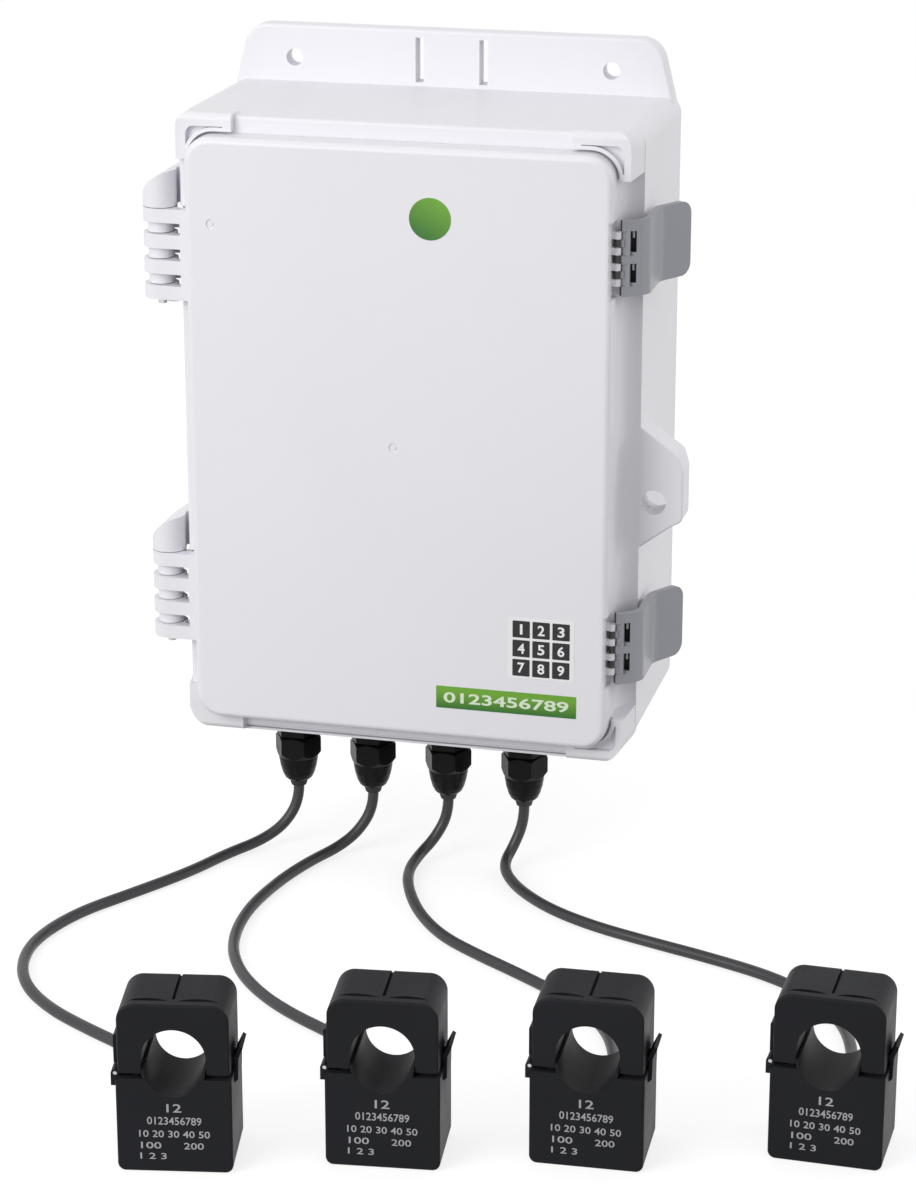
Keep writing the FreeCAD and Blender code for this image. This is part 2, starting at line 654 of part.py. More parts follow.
def case_hinge(centre_z):
    """Three knuckles between the cover's fingers and one at each end."""
    inner = FINGER_PITCH - FINGER_HEIGHT - 2 * KNUCKLE_GAP
    pieces = []
    for z0, z1 in finger_places(centre_z, FINGER_COUNT - 1, FINGER_PITCH, inner):
        pieces.append(knuckle(KNUCKLE_RADIUS, z0, z1))
    high = centre_z - HINGE_STACK / 2 - KNUCKLE_GAP
    foot = knuckle(HINGE_RADIUS, high - END_KNUCKLE, high)
    middle = Vector(HINGE_X + FOOT_BOWL_SHIFT, -SIDE_DEPTH - HINGE_WEB,
                    high - END_KNUCKLE + FOOT_BOWL_RADIUS)
    bowl = Part.makeSphere(FOOT_BOWL_RADIUS, middle)
    root = block(HINGE_X - 2 * HINGE_RADIUS, NECK_LEFT + CASE_WALL, SIDE_DEPTH - 2 * HINGE_WEB,
                 SIDE_DEPTH + HINGE_WEB / 2, high - END_KNUCKLE, high)
    pieces.append(foot.common(fuse(bowl, root)))
    low = centre_z + HINGE_STACK / 2 + KNUCKLE_GAP
    head = knuckle(HINGE_RADIUS, low, low + END_KNUCKLE + GUSSET_RISE)
    outer = HINGE_X - HINGE_RADIUS
    inner_x = NECK_LEFT + BITE
    shoulder = Vector(outer, 0, low + END_KNUCKLE)
    peak = Vector(inner_x, 0, low + END_KNUCKLE + GUSSET_RISE)
    bulge = Vector(outer + (inner_x - outer) * 0.3, 0, low + END_KNUCKLE + GUSSET_RISE * 0.66)
    low_left = Vector(outer, 0, low)
    low_right = Vector(inner_x, 0, low)
    edges = [Part.LineSegment(low_left, shoulder).toShape(), Part.Arc(shoulder, bulge, peak).toShape(),
             Part.LineSegment(peak, low_right).toShape(), Part.LineSegment(low_right, low_left).toShape()]
    dome = Part.Face(Part.Wire(edges)).extrude(Vector(0, -COVER_FRONT, 0))
    pieces.append(head.common(dome))
    return pieces


def case_catch(centre_z):
    """The ridge that a latch's hook sits behind."""
    wall = CASE_WIDTH / 2
    top = LATCH_DEPTH - CATCH_BACK
    half = CATCH_LENGTH / 2
    return bar([(wall - 1, top, 0), (wall + CATCH_OUT * 0.4, top, 0), (wall + CATCH_OUT, top - 1.2, 0),
                (wall + CATCH_OUT, top - CATCH_THICKNESS, 0), (wall - 1, top - CATCH_THICKNESS, 0)],
               centre_z - half, centre_z + half)


def back_case():
    half = CASE_WIDTH / 2
    body = drafted(framed(-half, half, CASE_BOTTOM, case_top(0), CASE_CORNER), 0,
                   framed(-half, half, CASE_BOTTOM, case_top(SIDE_DEPTH), CASE_CORNER), SIDE_DEPTH)
    back = SIDE_DEPTH - 2 * BITE
    chin = -case_top(RIM_DEPTH)
    neck = drafted(framed(NECK_LEFT, NECK_RIGHT, -case_top(back), case_top(back), NECK_CORNER), back,
                   framed(NECK_LEFT, NECK_RIGHT, chin, case_top(RIM_DEPTH), NECK_CORNER), RIM_DEPTH)
    rim = [edge for edge in neck.Edges if abs(edge.CenterOfMass.y + RIM_DEPTH) < 1e-6]
    neck = neck.makeFillet(BAND_ROUND, rim)
    coves = [cove(half, NECK_RIGHT), cove(-half, NECK_LEFT)]
    coves = fuse(*coves).common(slab(CASE_WIDTH, CASE_HEIGHT, CASE_CORNER, 0, RIM_DEPTH))
    guards = [guard(1, GUARD_CORNER), guard(-1, GUARD_CORNER), mirrored_z(guard(1, LOWER_GUARD_CORNER)),
              mirrored_z(guard(-1, LOWER_GUARD_CORNER))]
    body = fuse(body, neck, coves, *guards)
    inside = slab(CASE_WIDTH - 2 * CASE_WALL, CASE_HEIGHT - 2 * CASE_WALL, CASE_CORNER - CASE_WALL,
                  CASE_BACK, SIDE_DEPTH - CASE_WALL - BITE)
    throat = panel(framed(NECK_LEFT + CASE_WALL, NECK_RIGHT - CASE_WALL, CASE_BOTTOM + CASE_WALL,
                          CASE_HEIGHT / 2 - CASE_WALL, NECK_CORNER - CASE_WALL),
                   SIDE_DEPTH - CASE_WALL - 2 * BITE, RIM_DEPTH - RIM_SHELF)
    mouth = cover_slab(COVER_SKIRT + TONGUE_SLACK + TONGUE_WIDTH, RIM_DEPTH - RIM_SHELF - BITE, COVER_FRONT + BITE)
    seat = cover_slab(-GUARD_GAP, RIM_DEPTH, COVER_FRONT + BITE)
    body = cut(body, inside, throat, mouth, seat, guard_pocket(1), guard_pocket(-1), mirrored_z(guard_pocket(1)))
    reach = HINGE_STACK / 2 + KNUCKLE_GAP
    for centre_z in (-HINGE_Z, HINGE_Z):
        body = cut(body, block(NECK_LEFT - BITE, NECK_LEFT + CASE_WALL - HINGE_POCKET_WALL,
                               RIM_DEPTH - HINGE_POCKET, RIM_DEPTH + BITE, centre_z - reach, centre_z + reach))
    tongue = cut(cover_slab(COVER_SKIRT + TONGUE_SLACK, RIM_DEPTH - BITE, TONGUE_TOP),
                 cover_slab(COVER_SKIRT + TONGUE_SLACK + TONGUE_WIDTH, RIM_DEPTH - 2 * BITE, TONGUE_TOP + BITE))
    half_lip = COVER_WIDTH / 2 + GUARD_OUT - GUARD_LENGTH + BITE
    lip = block(COVER_SHIFT - half_lip, COVER_SHIFT + half_lip, RIM_DEPTH - LIP_THICKNESS, RIM_DEPTH - LIP_SETBACK,
                chin - LIP_DROP, chin + BITE / 2)
    groove = block(-half, half, RIM_DEPTH - LIP_GROOVE_DEPTH, RIM_DEPTH, chin - LIP_GROOVE, chin)
    pieces = [tongue, cut(lip, groove), flange(), ear()]
    for side in (-1, 1):
        pieces += case_hinge(side * HINGE_Z)
        pieces.append(case_catch(side * LATCH_Z))
        for end in (-1, 1):
            pieces.append(post(BOSS_RADIUS, side * (PLATE_WIDTH / 2 - BOSS_INSET),
                               PLATE_Z + end * (PLATE_HEIGHT / 2 - BOSS_INSET), CASE_BACK - 1, PLATE_BACK))
    body = fuse(body, *pieces)
    for side in (-1, 1):
        for end in (-1, 1):
            body = cut(body, post(PLATE_SCREW_RADIUS + SCREW_FIT, side * (PLATE_WIDTH / 2 - BOSS_INSET),
                                  PLATE_Z + end * (PLATE_HEIGHT / 2 - BOSS_INSET),
                                  CASE_BACK + 0.5, PLATE_BACK + 1))
    bore_reach = reach + END_KNUCKLE - BITE
    for centre_z in (-HINGE_Z, HINGE_Z):
        body = cut(body, upright(HINGE_PIN_RADIUS + HINGE_BORE_GAP, HINGE_X, HINGE_DEPTH,
                                 centre_z - bore_reach - 2 * BITE, centre_z + bore_reach))
    for x in GLAND_XS:
        body = cut(body, upright(GLAND_THREAD_RADIUS + GLAND_FIT, x, GLAND_DEPTH,
                                 CASE_BOTTOM - 5, CASE_BOTTOM + CASE_WALL + 1))
    return body


# Cover

def finger_places(centre_z, count, pitch, height):
    """The lower and upper end of each finger in a stack."""
    places = []
    for i in range(count):
        middle = centre_z + pitch * (i - (count - 1) / 2)
        places.append((middle - height / 2, middle + height / 2))
    return places


def cover_finger(z0, z1):
    ring = upright(HINGE_RADIUS, HINGE_X, HINGE_DEPTH, z0, z1)
    arm = block(HINGE_X, COVER_LEFT + COVER_SKIRT / 2, RIM_DEPTH + LEAF_LIFT,
                HINGE_DEPTH + HINGE_RADIUS, z0, z1)
    return fuse(ring, arm)


def latch_finger_places(centre_z):
    return finger_places(centre_z, LATCH_FINGER_COUNT, LATCH_FINGER + LATCH_FINGER_GAP, LATCH_FINGER)


def front_cover():
    body = cover_slab(0, CASE_DEPTH, COVER_FRONT)
    front = [edge for edge in body.Edges if abs(edge.CenterOfMass.y + COVER_FRONT) < 1e-6]
    body = body.makeFillet(COVER_EDGE_ROUND, front)
    inside = cover_slab(COVER_SKIRT, CASE_DEPTH - 1, COVER_FRONT - COVER_SKIN)
    channel = COVER_SKIRT + GASKET_CHANNEL
    rib_foot = COVER_FRONT - COVER_SKIN - CHANNEL_RIB_HEIGHT
    rib = cut(cover_slab(channel, rib_foot, COVER_FRONT - COVER_SKIN + 0.5),
              cover_slab(channel + CHANNEL_RIB, rib_foot - 1, COVER_FRONT - COVER_SKIN + 1))
    body = cut(body, inside)
    pieces = [rib]
    bores = []
    for side in (-1, 1):
        z = side * LATCH_Z
        half = LATCH_HEIGHT / 2 + LATCH_CLEARANCE
        floor = LATCH_X - LATCH_BARREL_RADIUS - LATCH_CLEARANCE
        body = cut(body, block(floor, COVER_RIGHT + 1, LATCH_DEPTH - 4, COVER_FRONT + 1, z - half, z + half))
        for z0, z1 in latch_finger_places(z):
            pieces.append(fuse(upright(LATCH_BARREL_RADIUS, LATCH_X, LATCH_DEPTH, z0, z1),
                               block(floor - 0.5, LATCH_X, LATCH_DEPTH - LATCH_BARREL_RADIUS,
                                     LATCH_DEPTH + LATCH_BARREL_RADIUS - 0.4, z0, z1)))
        bores.append(upright(LATCH_PIN_RADIUS + HINGE_BORE_GAP, LATCH_X, LATCH_DEPTH, z - half, z + half))
        for z0, z1 in finger_places(side * HINGE_Z, FINGER_COUNT, FINGER_PITCH, FINGER_HEIGHT):
            pieces.append(cover_finger(z0, z1))
        leaf_half = HINGE_STACK / 2
        pieces.append(block(COVER_LEFT - LEAF_OUT, COVER_LEFT + COVER_SKIRT / 2, RIM_DEPTH + LEAF_LIFT,
                            HINGE_DEPTH + HINGE_RADIUS, side * HINGE_Z - leaf_half, side * HINGE_Z + leaf_half))
        bores.append(upright(HINGE_PIN_RADIUS + HINGE_BORE_GAP, HINGE_X, HINGE_DEPTH,
                             side * HINGE_Z - 20, side * HINGE_Z + 20))
    body = cut(fuse(body, *pieces), *bores)
    for x, z in GATE_MARKS:
        dimple = cut(post(GATE_MARK_RADIUS, x, z, COVER_FRONT - GATE_MARK_DEPTH, COVER_FRONT + 1),
                     post(GATE_MARK_RADIUS / 2, x, z, COVER_FRONT - 1, COVER_FRONT - GATE_MARK_DEPTH / 4))
        body = cut(body, dimple)
    return body


def lid_gasket():
    outer = COVER_SKIRT + GASKET_SLACK
    inner = COVER_SKIRT + GASKET_CHANNEL - GASKET_SLACK
    top = COVER_FRONT - COVER_SKIN
    return cut(cover_slab(outer, TONGUE_TOP, top), cover_slab(inner, TONGUE_TOP - 1, top + 1))


def cover_hinge_pins():
    reach = HINGE_STACK / 2 + KNUCKLE_GAP + END_KNUCKLE - 1
    pins = []
    for centre_z in (-HINGE_Z, HINGE_Z):
        pins.append(upright(HINGE_PIN_RADIUS, HINGE_X, HINGE_DEPTH, centre_z - reach, centre_z + reach))
    return pins


# Latches

def offset_corners(points, distance):
    """The corners of an open line of points, moved sideways to its right by a distance."""
    moved = []
    for i in range(len(points)):
        normals = []
        for j in (i - 1, i):
            if 0 <= j < len(points) - 1:
                run = Vector(points[j + 1][0] - points[j][0], points[j + 1][1] - points[j][1], 0).normalize()
                normals.append(Vector(run.y, -run.x, 0))
        if len(normals) == 1:
            shift = normals[0] * distance
        else:
            mean = (normals[0] + normals[1]).normalize()
            shift = mean * (distance / mean.dot(normals[0]))
        moved.append((points[i][0] + shift.x, points[i][1] + shift.y))
    return moved


def latch(centre_z):
    """Front plate, side wall and thumb tab bent from one sheet, on fingers round the latch pin."""
    half = LATCH_HEIGHT / 2
    side_x = LATCH_X + LATCH_REACH
    plate_x = LATCH_X + LATCH_BARREL_RADIUS + LATCH_CLEARANCE
    tab_x = LATCH_X + LATCH_TAB_REACH
    tab_depth = LATCH_DEPTH - LATCH_TAB_BACK
    outer = [(plate_x, LATCH_DEPTH + 0.4), (side_x - 2.3, LATCH_DEPTH - 3.5), (side_x, LATCH_DEPTH - 7.5),
             (side_x, LATCH_DEPTH - LATCH_BACK), (tab_x, tab_depth)]
    inner = offset_corners(outer, LATCH_SHEET)
    outer_rounds = [0.0, 3.5, 5.0, 8.0, 0.0]
    inner_rounds = [0.0, 1.5, 3.0, 10.0, 0.0]
    corners = [(x, depth, r) for (x, depth), r in zip(outer, outer_rounds)]
    corners += [(x, depth, r) for (x, depth), r in zip(reversed(inner), reversed(inner_rounds))]
    body = bar(corners, centre_z - half, centre_z + half)
    thickness = Vector(tab_x - inner[-1][0], inner[-1][1] - tab_depth, 0)
    tips = edges_along(body, thickness, lambda c: c.x > tab_x - 4)
    body = body.makeFillet(LATCH_TAB_ROUND, tips)
    body = cut(body, upright(LATCH_BARREL_RADIUS + LATCH_CLEARANCE, LATCH_X, LATCH_DEPTH,
                             centre_z - half - 1, centre_z + half + 1))
    for low, high in ((1.0, 9.4), (-9.5, -1.8)):
        window = block(plate_x - 1, plate_x + 4.4, LATCH_DEPTH - 7, LATCH_DEPTH + 2,
                       centre_z + low, centre_z + high)
        rail = block(plate_x, plate_x + 2.4, LATCH_DEPTH - 2.6, LATCH_DEPTH - 0.8,
                     centre_z + low - 0.5, centre_z + high + 0.5)
        nub_low = block(plate_x + 2.3, plate_x + 4.6, LATCH_DEPTH - 3.6, LATCH_DEPTH - 2.4,
                        centre_z + low, centre_z + low + 1.0)
        nub_high = block(plate_x + 3.0, plate_x + 3.7, LATCH_DEPTH - 3.8, LATCH_DEPTH - 2.6,
                         centre_z + high - 2.4, centre_z + high + 0.4)
        body = fuse(cut(body, window), rail, nub_low, nub_high)
    hook_root = side_x - LATCH_SHEET
    hook_top = LATCH_DEPTH - CATCH_BACK - CATCH_THICKNESS - 1.0
    hook = block(CASE_WIDTH / 2 + LATCH_CLEARANCE, hook_root + 2.6, hook_top - 3.0, hook_top,
                 centre_z - CATCH_LENGTH / 2, centre_z + CATCH_LENGTH / 2)
    pieces = [hook]
    pitch = LATCH_FINGER + LATCH_FINGER_GAP
    for z0, z1 in finger_places(centre_z, LATCH_FINGER_COUNT - 1, pitch, LATCH_FINGER_GAP - 2 * KNUCKLE_GAP):
        pieces.append(fuse(upright(LATCH_BARREL_RADIUS - 0.2, LATCH_X, LATCH_DEPTH, z0, z1),
                           block(LATCH_X, plate_x + 0.6, LATCH_DEPTH - 1.5, LATCH_DEPTH - 0.2, z0, z1)))
    body = fuse(body, *pieces)
    return cut(body, upright(LATCH_PIN_RADIUS + HINGE_BORE_GAP, LATCH_X, LATCH_DEPTH,
                             centre_z - half - 1, centre_z + half + 1))


def latch_pins():
    length = LATCH_FINGER_COUNT * LATCH_FINGER + (LATCH_FINGER_COUNT - 1) * LATCH_FINGER_GAP
    return [upright(LATCH_PIN_RADIUS, LATCH_X, LATCH_DEPTH, z - length / 2, z + length / 2)
            for z in (-LATCH_Z, LATCH_Z)]


# Cable glands

def gland_body(x):
    inner_end = CASE_BOTTOM + CASE_WALL + GLAND_LOCKNUT + 1.5
    spigot_end = GLAND_HEX_END + 2.5
    body = fuse(upright(GLAND_THREAD_RADIUS, x, GLAND_DEPTH, GLAND_FLANGE_TOP - 1, inner_end),
                upright(GLAND_COLLAR_RADIUS, x, GLAND_DEPTH, GLAND_HEX_TOP, GLAND_FLANGE_TOP),
                hexagon(GLAND_FLATS, x, GLAND_DEPTH, GLAND_HEX_TOP - GLAND_FLANGE, GLAND_HEX_TOP),
                upright(GLAND_THREAD_RADIUS, x, GLAND_DEPTH, spigot_end, GLAND_FLANGE_TOP - 1))
    return cut(body, upright(4.6, x, GLAND_DEPTH, spigot_end - 1, inner_end + 1))


def gland_washer(x):
    return cut(upright(8.7, x, GLAND_DEPTH, GLAND_FLANGE_TOP, CASE_BOTTOM),
               upright(GLAND_THREAD_RADIUS + GLAND_FIT, x, GLAND_DEPTH, GLAND_FLANGE_TOP - 1, CASE_BOTTOM + 1))


def gland_locknut(x):
    foot = CASE_BOTTOM + CASE_WALL
    return cut(hexagon(GLAND_LOCKNUT_FLATS, x, GLAND_DEPTH, foot, foot + GLAND_LOCKNUT),
               upright(GLAND_THREAD_RADIUS + GLAND_FIT, x, GLAND_DEPTH, foot - 1, foot + GLAND_LOCKNUT + 1))


def gland_nut(x):
    """Six flats with chamfered ends over a smooth crown that narrows to the cable."""
    corner = GLAND_FLATS / math.sqrt(3)
    flat = GLAND_FLATS / 2
    hexed = hexagon(GLAND_FLATS, x, GLAND_DEPTH, GLAND_HEX_END - 1.5, GLAND_NUT_TOP)
    envelope = turned([(0, GLAND_NUT_TOP), (flat, GLAND_NUT_TOP), (corner + 0.1, GLAND_NUT_TOP - 1.0),
                       (corner + 0.1, GLAND_HEX_END + 1.0), (flat - 0.5, GLAND_HEX_END - 1.5),
                       (0, GLAND_HEX_END - 1.5)], x, GLAND_DEPTH)
    crown = turned([(0, GLAND_HEX_END + 1), (flat - 0.3, GLAND_HEX_END + 1), (flat - 0.3, GLAND_HEX_END - 2.0),
                    (flat - 0.8, GLAND_HEX_END - 5.0), (flat - 1.6, GLAND_HEX_END - 7.8),
                    (flat - 2.4, GLAND_CROWN_END + 0.7), (flat - 3.1, GLAND_CROWN_END),
                    (0, GLAND_CROWN_END)], x, GLAND_DEPTH)
    hollow = turned([(0, GLAND_NUT_TOP + 1), (GLAND_THREAD_RADIUS + GLAND_FIT, GLAND_NUT_TOP + 1),
                     (GLAND_THREAD_RADIUS + GLAND_FIT, GLAND_HEX_END + 2.0), (4.5, GLAND_HEX_END - 0.5),
                     (3.5, GLAND_CROWN_END + 1.5), (3.5, GLAND_CROWN_END - 1), (0, GLAND_CROWN_END - 1)],
                    x, GLAND_DEPTH)
    return cut(fuse(hexed.common(envelope), crown), hollow)


def gland_seal(x):
    """The rubber sleeve that grips the cable; its nose stands out of the nut's crown."""
    spigot_end = GLAND_HEX_END + 2.5
    bore = CABLE_RADIUS + CABLE_FIT
    return turned([(bore, spigot_end + 8.5), (4.5, spigot_end + 8.5), (4.5, spigot_end + 0.3),
                   (4.2, GLAND_HEX_END - 0.6), (3.3, GLAND_CROWN_END + 1.4), (3.3, GLAND_CROWN_END - 1.0),
                   (2.8, GLAND_MOUTH), (bore, GLAND_MOUTH)], x, GLAND_DEPTH)


def inner_lead(i):
    """The cable inside the case, from the gland's mouth up to its terminals."""
    x = GLAND_XS[i]
    terminal_x = TERMINAL_XS[i]
    entry_depth = BOARD_FRONT + TERMINAL_DEPTH / 2
    points = [Vector(x, -GLAND_DEPTH, GLAND_MOUTH), Vector(x, -GLAND_DEPTH, CASE_BOTTOM + 22),
              Vector(terminal_x, -entry_depth, TERMINAL_BOTTOM - 16),
              Vector(terminal_x, -entry_depth, TERMINAL_BOTTOM)]
    return tube("inner_lead_" + str(i + 1), points, CABLE_RADIUS)


# Parts on the mounting plate

def plate_corners():
    return [(side * (PLATE_WIDTH / 2 - BOSS_INSET), PLATE_Z + end * (PLATE_HEIGHT / 2 - BOSS_INSET))
            for side in (-1, 1) for end in (-1, 1)]


def board_corners():
    return [(BOARD_X + side * (BOARD_WIDTH / 2 - BOARD_INSET), BOARD_Z + end * (BOARD_HEIGHT / 2 - BOARD_INSET))
            for side in (-1, 1) for end in (-1, 1)]


def mounting_plate():
    w = PLATE_WIDTH / 2
    top = PLATE_Z + PLATE_HEIGHT / 2
    foot = PLATE_Z - PLATE_HEIGHT / 2
    sheet = panel([(-w, foot, 4.0), (w, foot, 4.0), (w, top, 4.0), (-w, top, 4.0)], PLATE_BACK, PLATE_FRONT)
    for x, z in plate_corners():
        sheet = cut(sheet, post(PLATE_SCREW_RADIUS + SCREW_FIT, x, z, PLATE_BACK - 1, PLATE_FRONT + 1))
    for x, z in board_corners():
        sheet = cut(sheet, post(BOARD_SCREW_RADIUS + SCREW_FIT, x, z, PLATE_BACK - 1, PLATE_FRONT + 1))
    return sheet


def pan_screw(radius, head_radius, x, z, tip, seat):
    """A screw whose head sits at one depth and whose tip ends at another."""
    head = post(head_radius, x, z, seat, seat + head_radius * 0.65)
    slot = block(x - head_radius, x + head_radius, seat + head_radius * 0.35, seat + head_radius, z - 0.5, z + 0.5)
    return cut(fuse(post(radius, x, z, tip, seat), head), slot)


def standoff(x, z):
    body = hexagon_post(STANDOFF_FLATS, x, z, PLATE_FRONT, BOARD_BACK)
    bore = post(BOARD_SCREW_RADIUS + SCREW_FIT, x, z, BOARD_BACK - 6, BOARD_BACK + 1)
    stud = post(BOARD_SCREW_RADIUS, x, z, PLATE_BACK, PLATE_FRONT)
    return fuse(cut(body, bore), stud)


def main_board():
    w = BOARD_WIDTH / 2
    h = BOARD_HEIGHT / 2
    sheet = panel([(BOARD_X - w, BOARD_Z - h, 2.0), (BOARD_X + w, BOARD_Z - h, 2.0),
                   (BOARD_X + w, BOARD_Z + h, 2.0), (BOARD_X - w, BOARD_Z + h, 2.0)], BOARD_BACK, BOARD_FRONT)
    for x, z in board_corners():
        sheet = cut(sheet, post(BOARD_SCREW_RADIUS + SCREW_FIT, x, z, BOARD_BACK - 1, BOARD_FRONT + 1))
    return sheet


def terminal_screw_xs():
    count = 2 * GLAND_COUNT
    return [BOARD_X + TERMINAL_POLE * (i - (count - 1) / 2) for i in range(count)]


def terminal_block():
    half = TERMINAL_POLE * GLAND_COUNT
    front = BOARD_FRONT + TERMINAL_DEPTH
    top = TERMINAL_BOTTOM + TERMINAL_HEIGHT
    body = block(BOARD_X - half, BOARD_X + half, BOARD_FRONT, front, TERMINAL_BOTTOM, top)
    body = cut(body, block(BOARD_X - half - 1, BOARD_X + half + 1, front - 4, front + 1,
                           TERMINAL_BOTTOM - 1, TERMINAL_BOTTOM + 2.5))
    for x in terminal_screw_xs():
        body = cut(body, post(3.0, x, TERMINAL_BOTTOM + TERMINAL_HEIGHT * 0.6, front - 6, front + 1))
    return body


def terminal_screws():
    front = BOARD_FRONT + TERMINAL_DEPTH
    z = TERMINAL_BOTTOM + TERMINAL_HEIGHT * 0.6
    screws = []
    for x in terminal_screw_xs():
        screws.append(cut(post(2.9, x, z, front - 6, front - 2.5),
                          block(x - 4, x + 4, front - 3.5, front, z - 0.4, z + 0.4)))
    return screws


def battery_holder():
    """A tray for four cells side by side."""
    half_w = CELL_LENGTH / 2 + HOLDER_SPRINGS
    half_h = CELL_COUNT * CELL_RADIUS + HOLDER_ROOM
    floor = PLATE_FRONT + HOLDER_WALL
    outer = block(-half_w - HOLDER_WALL, half_w + HOLDER_WALL, PLATE_FRONT, floor + CELL_RADIUS * 1.7,
                  HOLDER_Z - half_h - HOLDER_WALL, HOLDER_Z + half_h + HOLDER_WALL)
    outer = outer.makeFillet(1.0, edges_along(outer, Y_AXIS, lambda c: True))
    return cut(outer, block(-half_w, half_w, floor, floor + CELL_RADIUS * 2, HOLDER_Z - half_h, HOLDER_Z + half_h))


def battery_cells():
    """Cells lie along X, each the other way round from its neighbour."""
    depth = PLATE_FRONT + HOLDER_WALL + CELL_RADIUS
    half_w = CELL_LENGTH / 2 + HOLDER_SPRINGS
    can_length = CELL_LENGTH - CELL_TIP
    cells = []
    for i in range(CELL_COUNT):
        z = HOLDER_Z + 2 * CELL_RADIUS * (i - (CELL_COUNT - 1) / 2)
        way = 1 if i % 2 == 0 else -1
        end = -way * half_w
        shoulder = way * (can_length - half_w)
        can = Part.makeCylinder(CELL_RADIUS - 0.05, can_length, Vector(end, -depth, z), X_AXIS * way)
        tip = Part.makeCylinder(CELL_TIP_RADIUS, CELL_TIP, Vector(shoulder, -depth, z), X_AXIS * way)
        cells.append(fuse(can, tip))
    return cells


def antenna():
    """A stub antenna on a foot soldered to the board."""
    x = BOARD_RIGHT - ANTENNA_INSET
    z = BOARD_TOP - ANTENNA_DROP
    half = ANTENNA_FOOT / 2
    depth = BOARD_FRONT + ANTENNA_STEM_DEPTH
    stem_foot = z + ANTENNA_FOOT
    rod_foot = stem_foot + ANTENNA_STEM - BITE
    foot = block(x - half, x + half, BOARD_FRONT, BOARD_FRONT + ANTENNA_FOOT_DEPTH, z, stem_foot)
    stem = upright(ANTENNA_STEM_RADIUS, x, depth, stem_foot - BITE, rod_foot + BITE)
    return fuse(foot, stem, upright(ANTENNA_RADIUS, x, depth, rod_foot, rod_foot + ANTENNA_LENGTH))


def buzzer():
    x = BOARD_LEFT + BUZZER_INSET
    top = BOARD_FRONT + BUZZER_HEIGHT
    return cut(post(BUZZER_RADIUS, x, BOARD_Z, BOARD_FRONT, top),
               post(BUZZER_PORT_RADIUS, x, BOARD_Z, top - BUZZER_HEIGHT / 3, top + BITE))


def storage_capacitors():
    x = BOARD_LEFT + CAPACITOR_INSET
    z = BOARD_TOP - CAPACITOR_INSET
    return [post(CAPACITOR_RADIUS, x + step, z, BOARD_FRONT, BOARD_FRONT + CAPACITOR_HEIGHT)
            for step in (0, CAPACITOR_PITCH)]


def processor():
    half = PROCESSOR_WIDTH / 2
    body = block(BOARD_X - half, BOARD_X + half, BOARD_FRONT, BOARD_FRONT + PROCESSOR_HEIGHT,
                 BOARD_Z - half, BOARD_Z + half)
    return body.makeChamfer(0.3, edges_along(body, Y_AXIS, lambda c: True))


def radio_module():
    """A small carrier board with a shield can; its upper end stays bare for the printed antenna."""
    x = BOARD_X + RADIO_SHIFT
    z = BOARD_Z + RADIO_RISE
    w = RADIO_WIDTH / 2
    h = RADIO_LENGTH / 2
    carrier_front = BOARD_FRONT + RADIO_SHEET
    carrier = block(x - w, x + w, BOARD_FRONT, carrier_front, z - h, z + h)
    can = block(x - w + BITE, x + w - BITE, carrier_front, carrier_front + RADIO_CAN, z - h + BITE, z + h / 2)
    return fuse(carrier, can.makeFillet(0.6, edges_along(can, Y_AXIS, lambda c: True)))


def status_leds():
    z = TERMINAL_BOTTOM + TERMINAL_HEIGHT + LAMP_GAP
    lamps = []
    for x in TERMINAL_XS:
        body = post(LAMP_RADIUS, x, z, BOARD_FRONT, BOARD_FRONT + LAMP_HEIGHT)
        dome = Part.makeSphere(LAMP_RADIUS, Vector(x, -BOARD_FRONT - LAMP_HEIGHT, z))
        lamps.append(fuse(body, dome, post(LAMP_FLANGE_RADIUS, x, z, BOARD_FRONT, BOARD_FRONT + BITE)))
    return lamps


def button_housing():
    half = BUTTON_HOUSING / 2
    floor = BOARD_FRONT + 1.5
    front = floor + 3.0
    body = block(BUTTON_X - half, BUTTON_X + half, BOARD_FRONT, front, BUTTON_Z - half, BUTTON_Z + half)
    body = body.makeFillet(1.0, edges_along(body, Y_AXIS, lambda c: True))
    return cut(body, post(BUTTON_RADIUS + BUTTON_FIT, BUTTON_X, BUTTON_Z, floor, front + 1))


def test_button():
    floor = BOARD_FRONT + 1.5
    body = post(BUTTON_RADIUS, BUTTON_X, BUTTON_Z, floor + BUTTON_TRAVEL + 0.1, floor + 7.5)
    rim = [edge for edge in body.Edges if abs(edge.CenterOfMass.y + floor + 7.5) < 1e-6]
    return body.makeFillet(0.5, rim)


def battery_plug():
    half = PLUG_WIDTH / 2
    return block(BOARD_X - half, BOARD_X + half, BOARD_FRONT, BOARD_FRONT + PLUG_DEPTH,
                 PLUG_TOP - PLUG_HEIGHT, PLUG_TOP)


def battery_lead():
    """Two wires from the holder down to the plug."""
    return [upright(WIRE_RADIUS, BOARD_X + step, BOARD_FRONT + WIRE_RISE, PLUG_TOP, HOLDER_BOTTOM)
            for step in (-WIRE_STEP, WIRE_STEP)]


# Current transformers, first in their own frame: front bottom edge's middle at the origin

def placed(shape, i):
    x, y, turn = CT_PLACES[i]
    moved = shape.copy()
    moved.rotate(Vector(0, 0, 0), Z_AXIS, turn)
    moved.translate(Vector(x, y, FLOOR_Z))
    return moved


def across(radius, x, z, y0, y1):
    """A cylinder from front to back."""
    return Part.makeCylinder(radius, y1 - y0, Vector(x, y0, z), Y_AXIS)


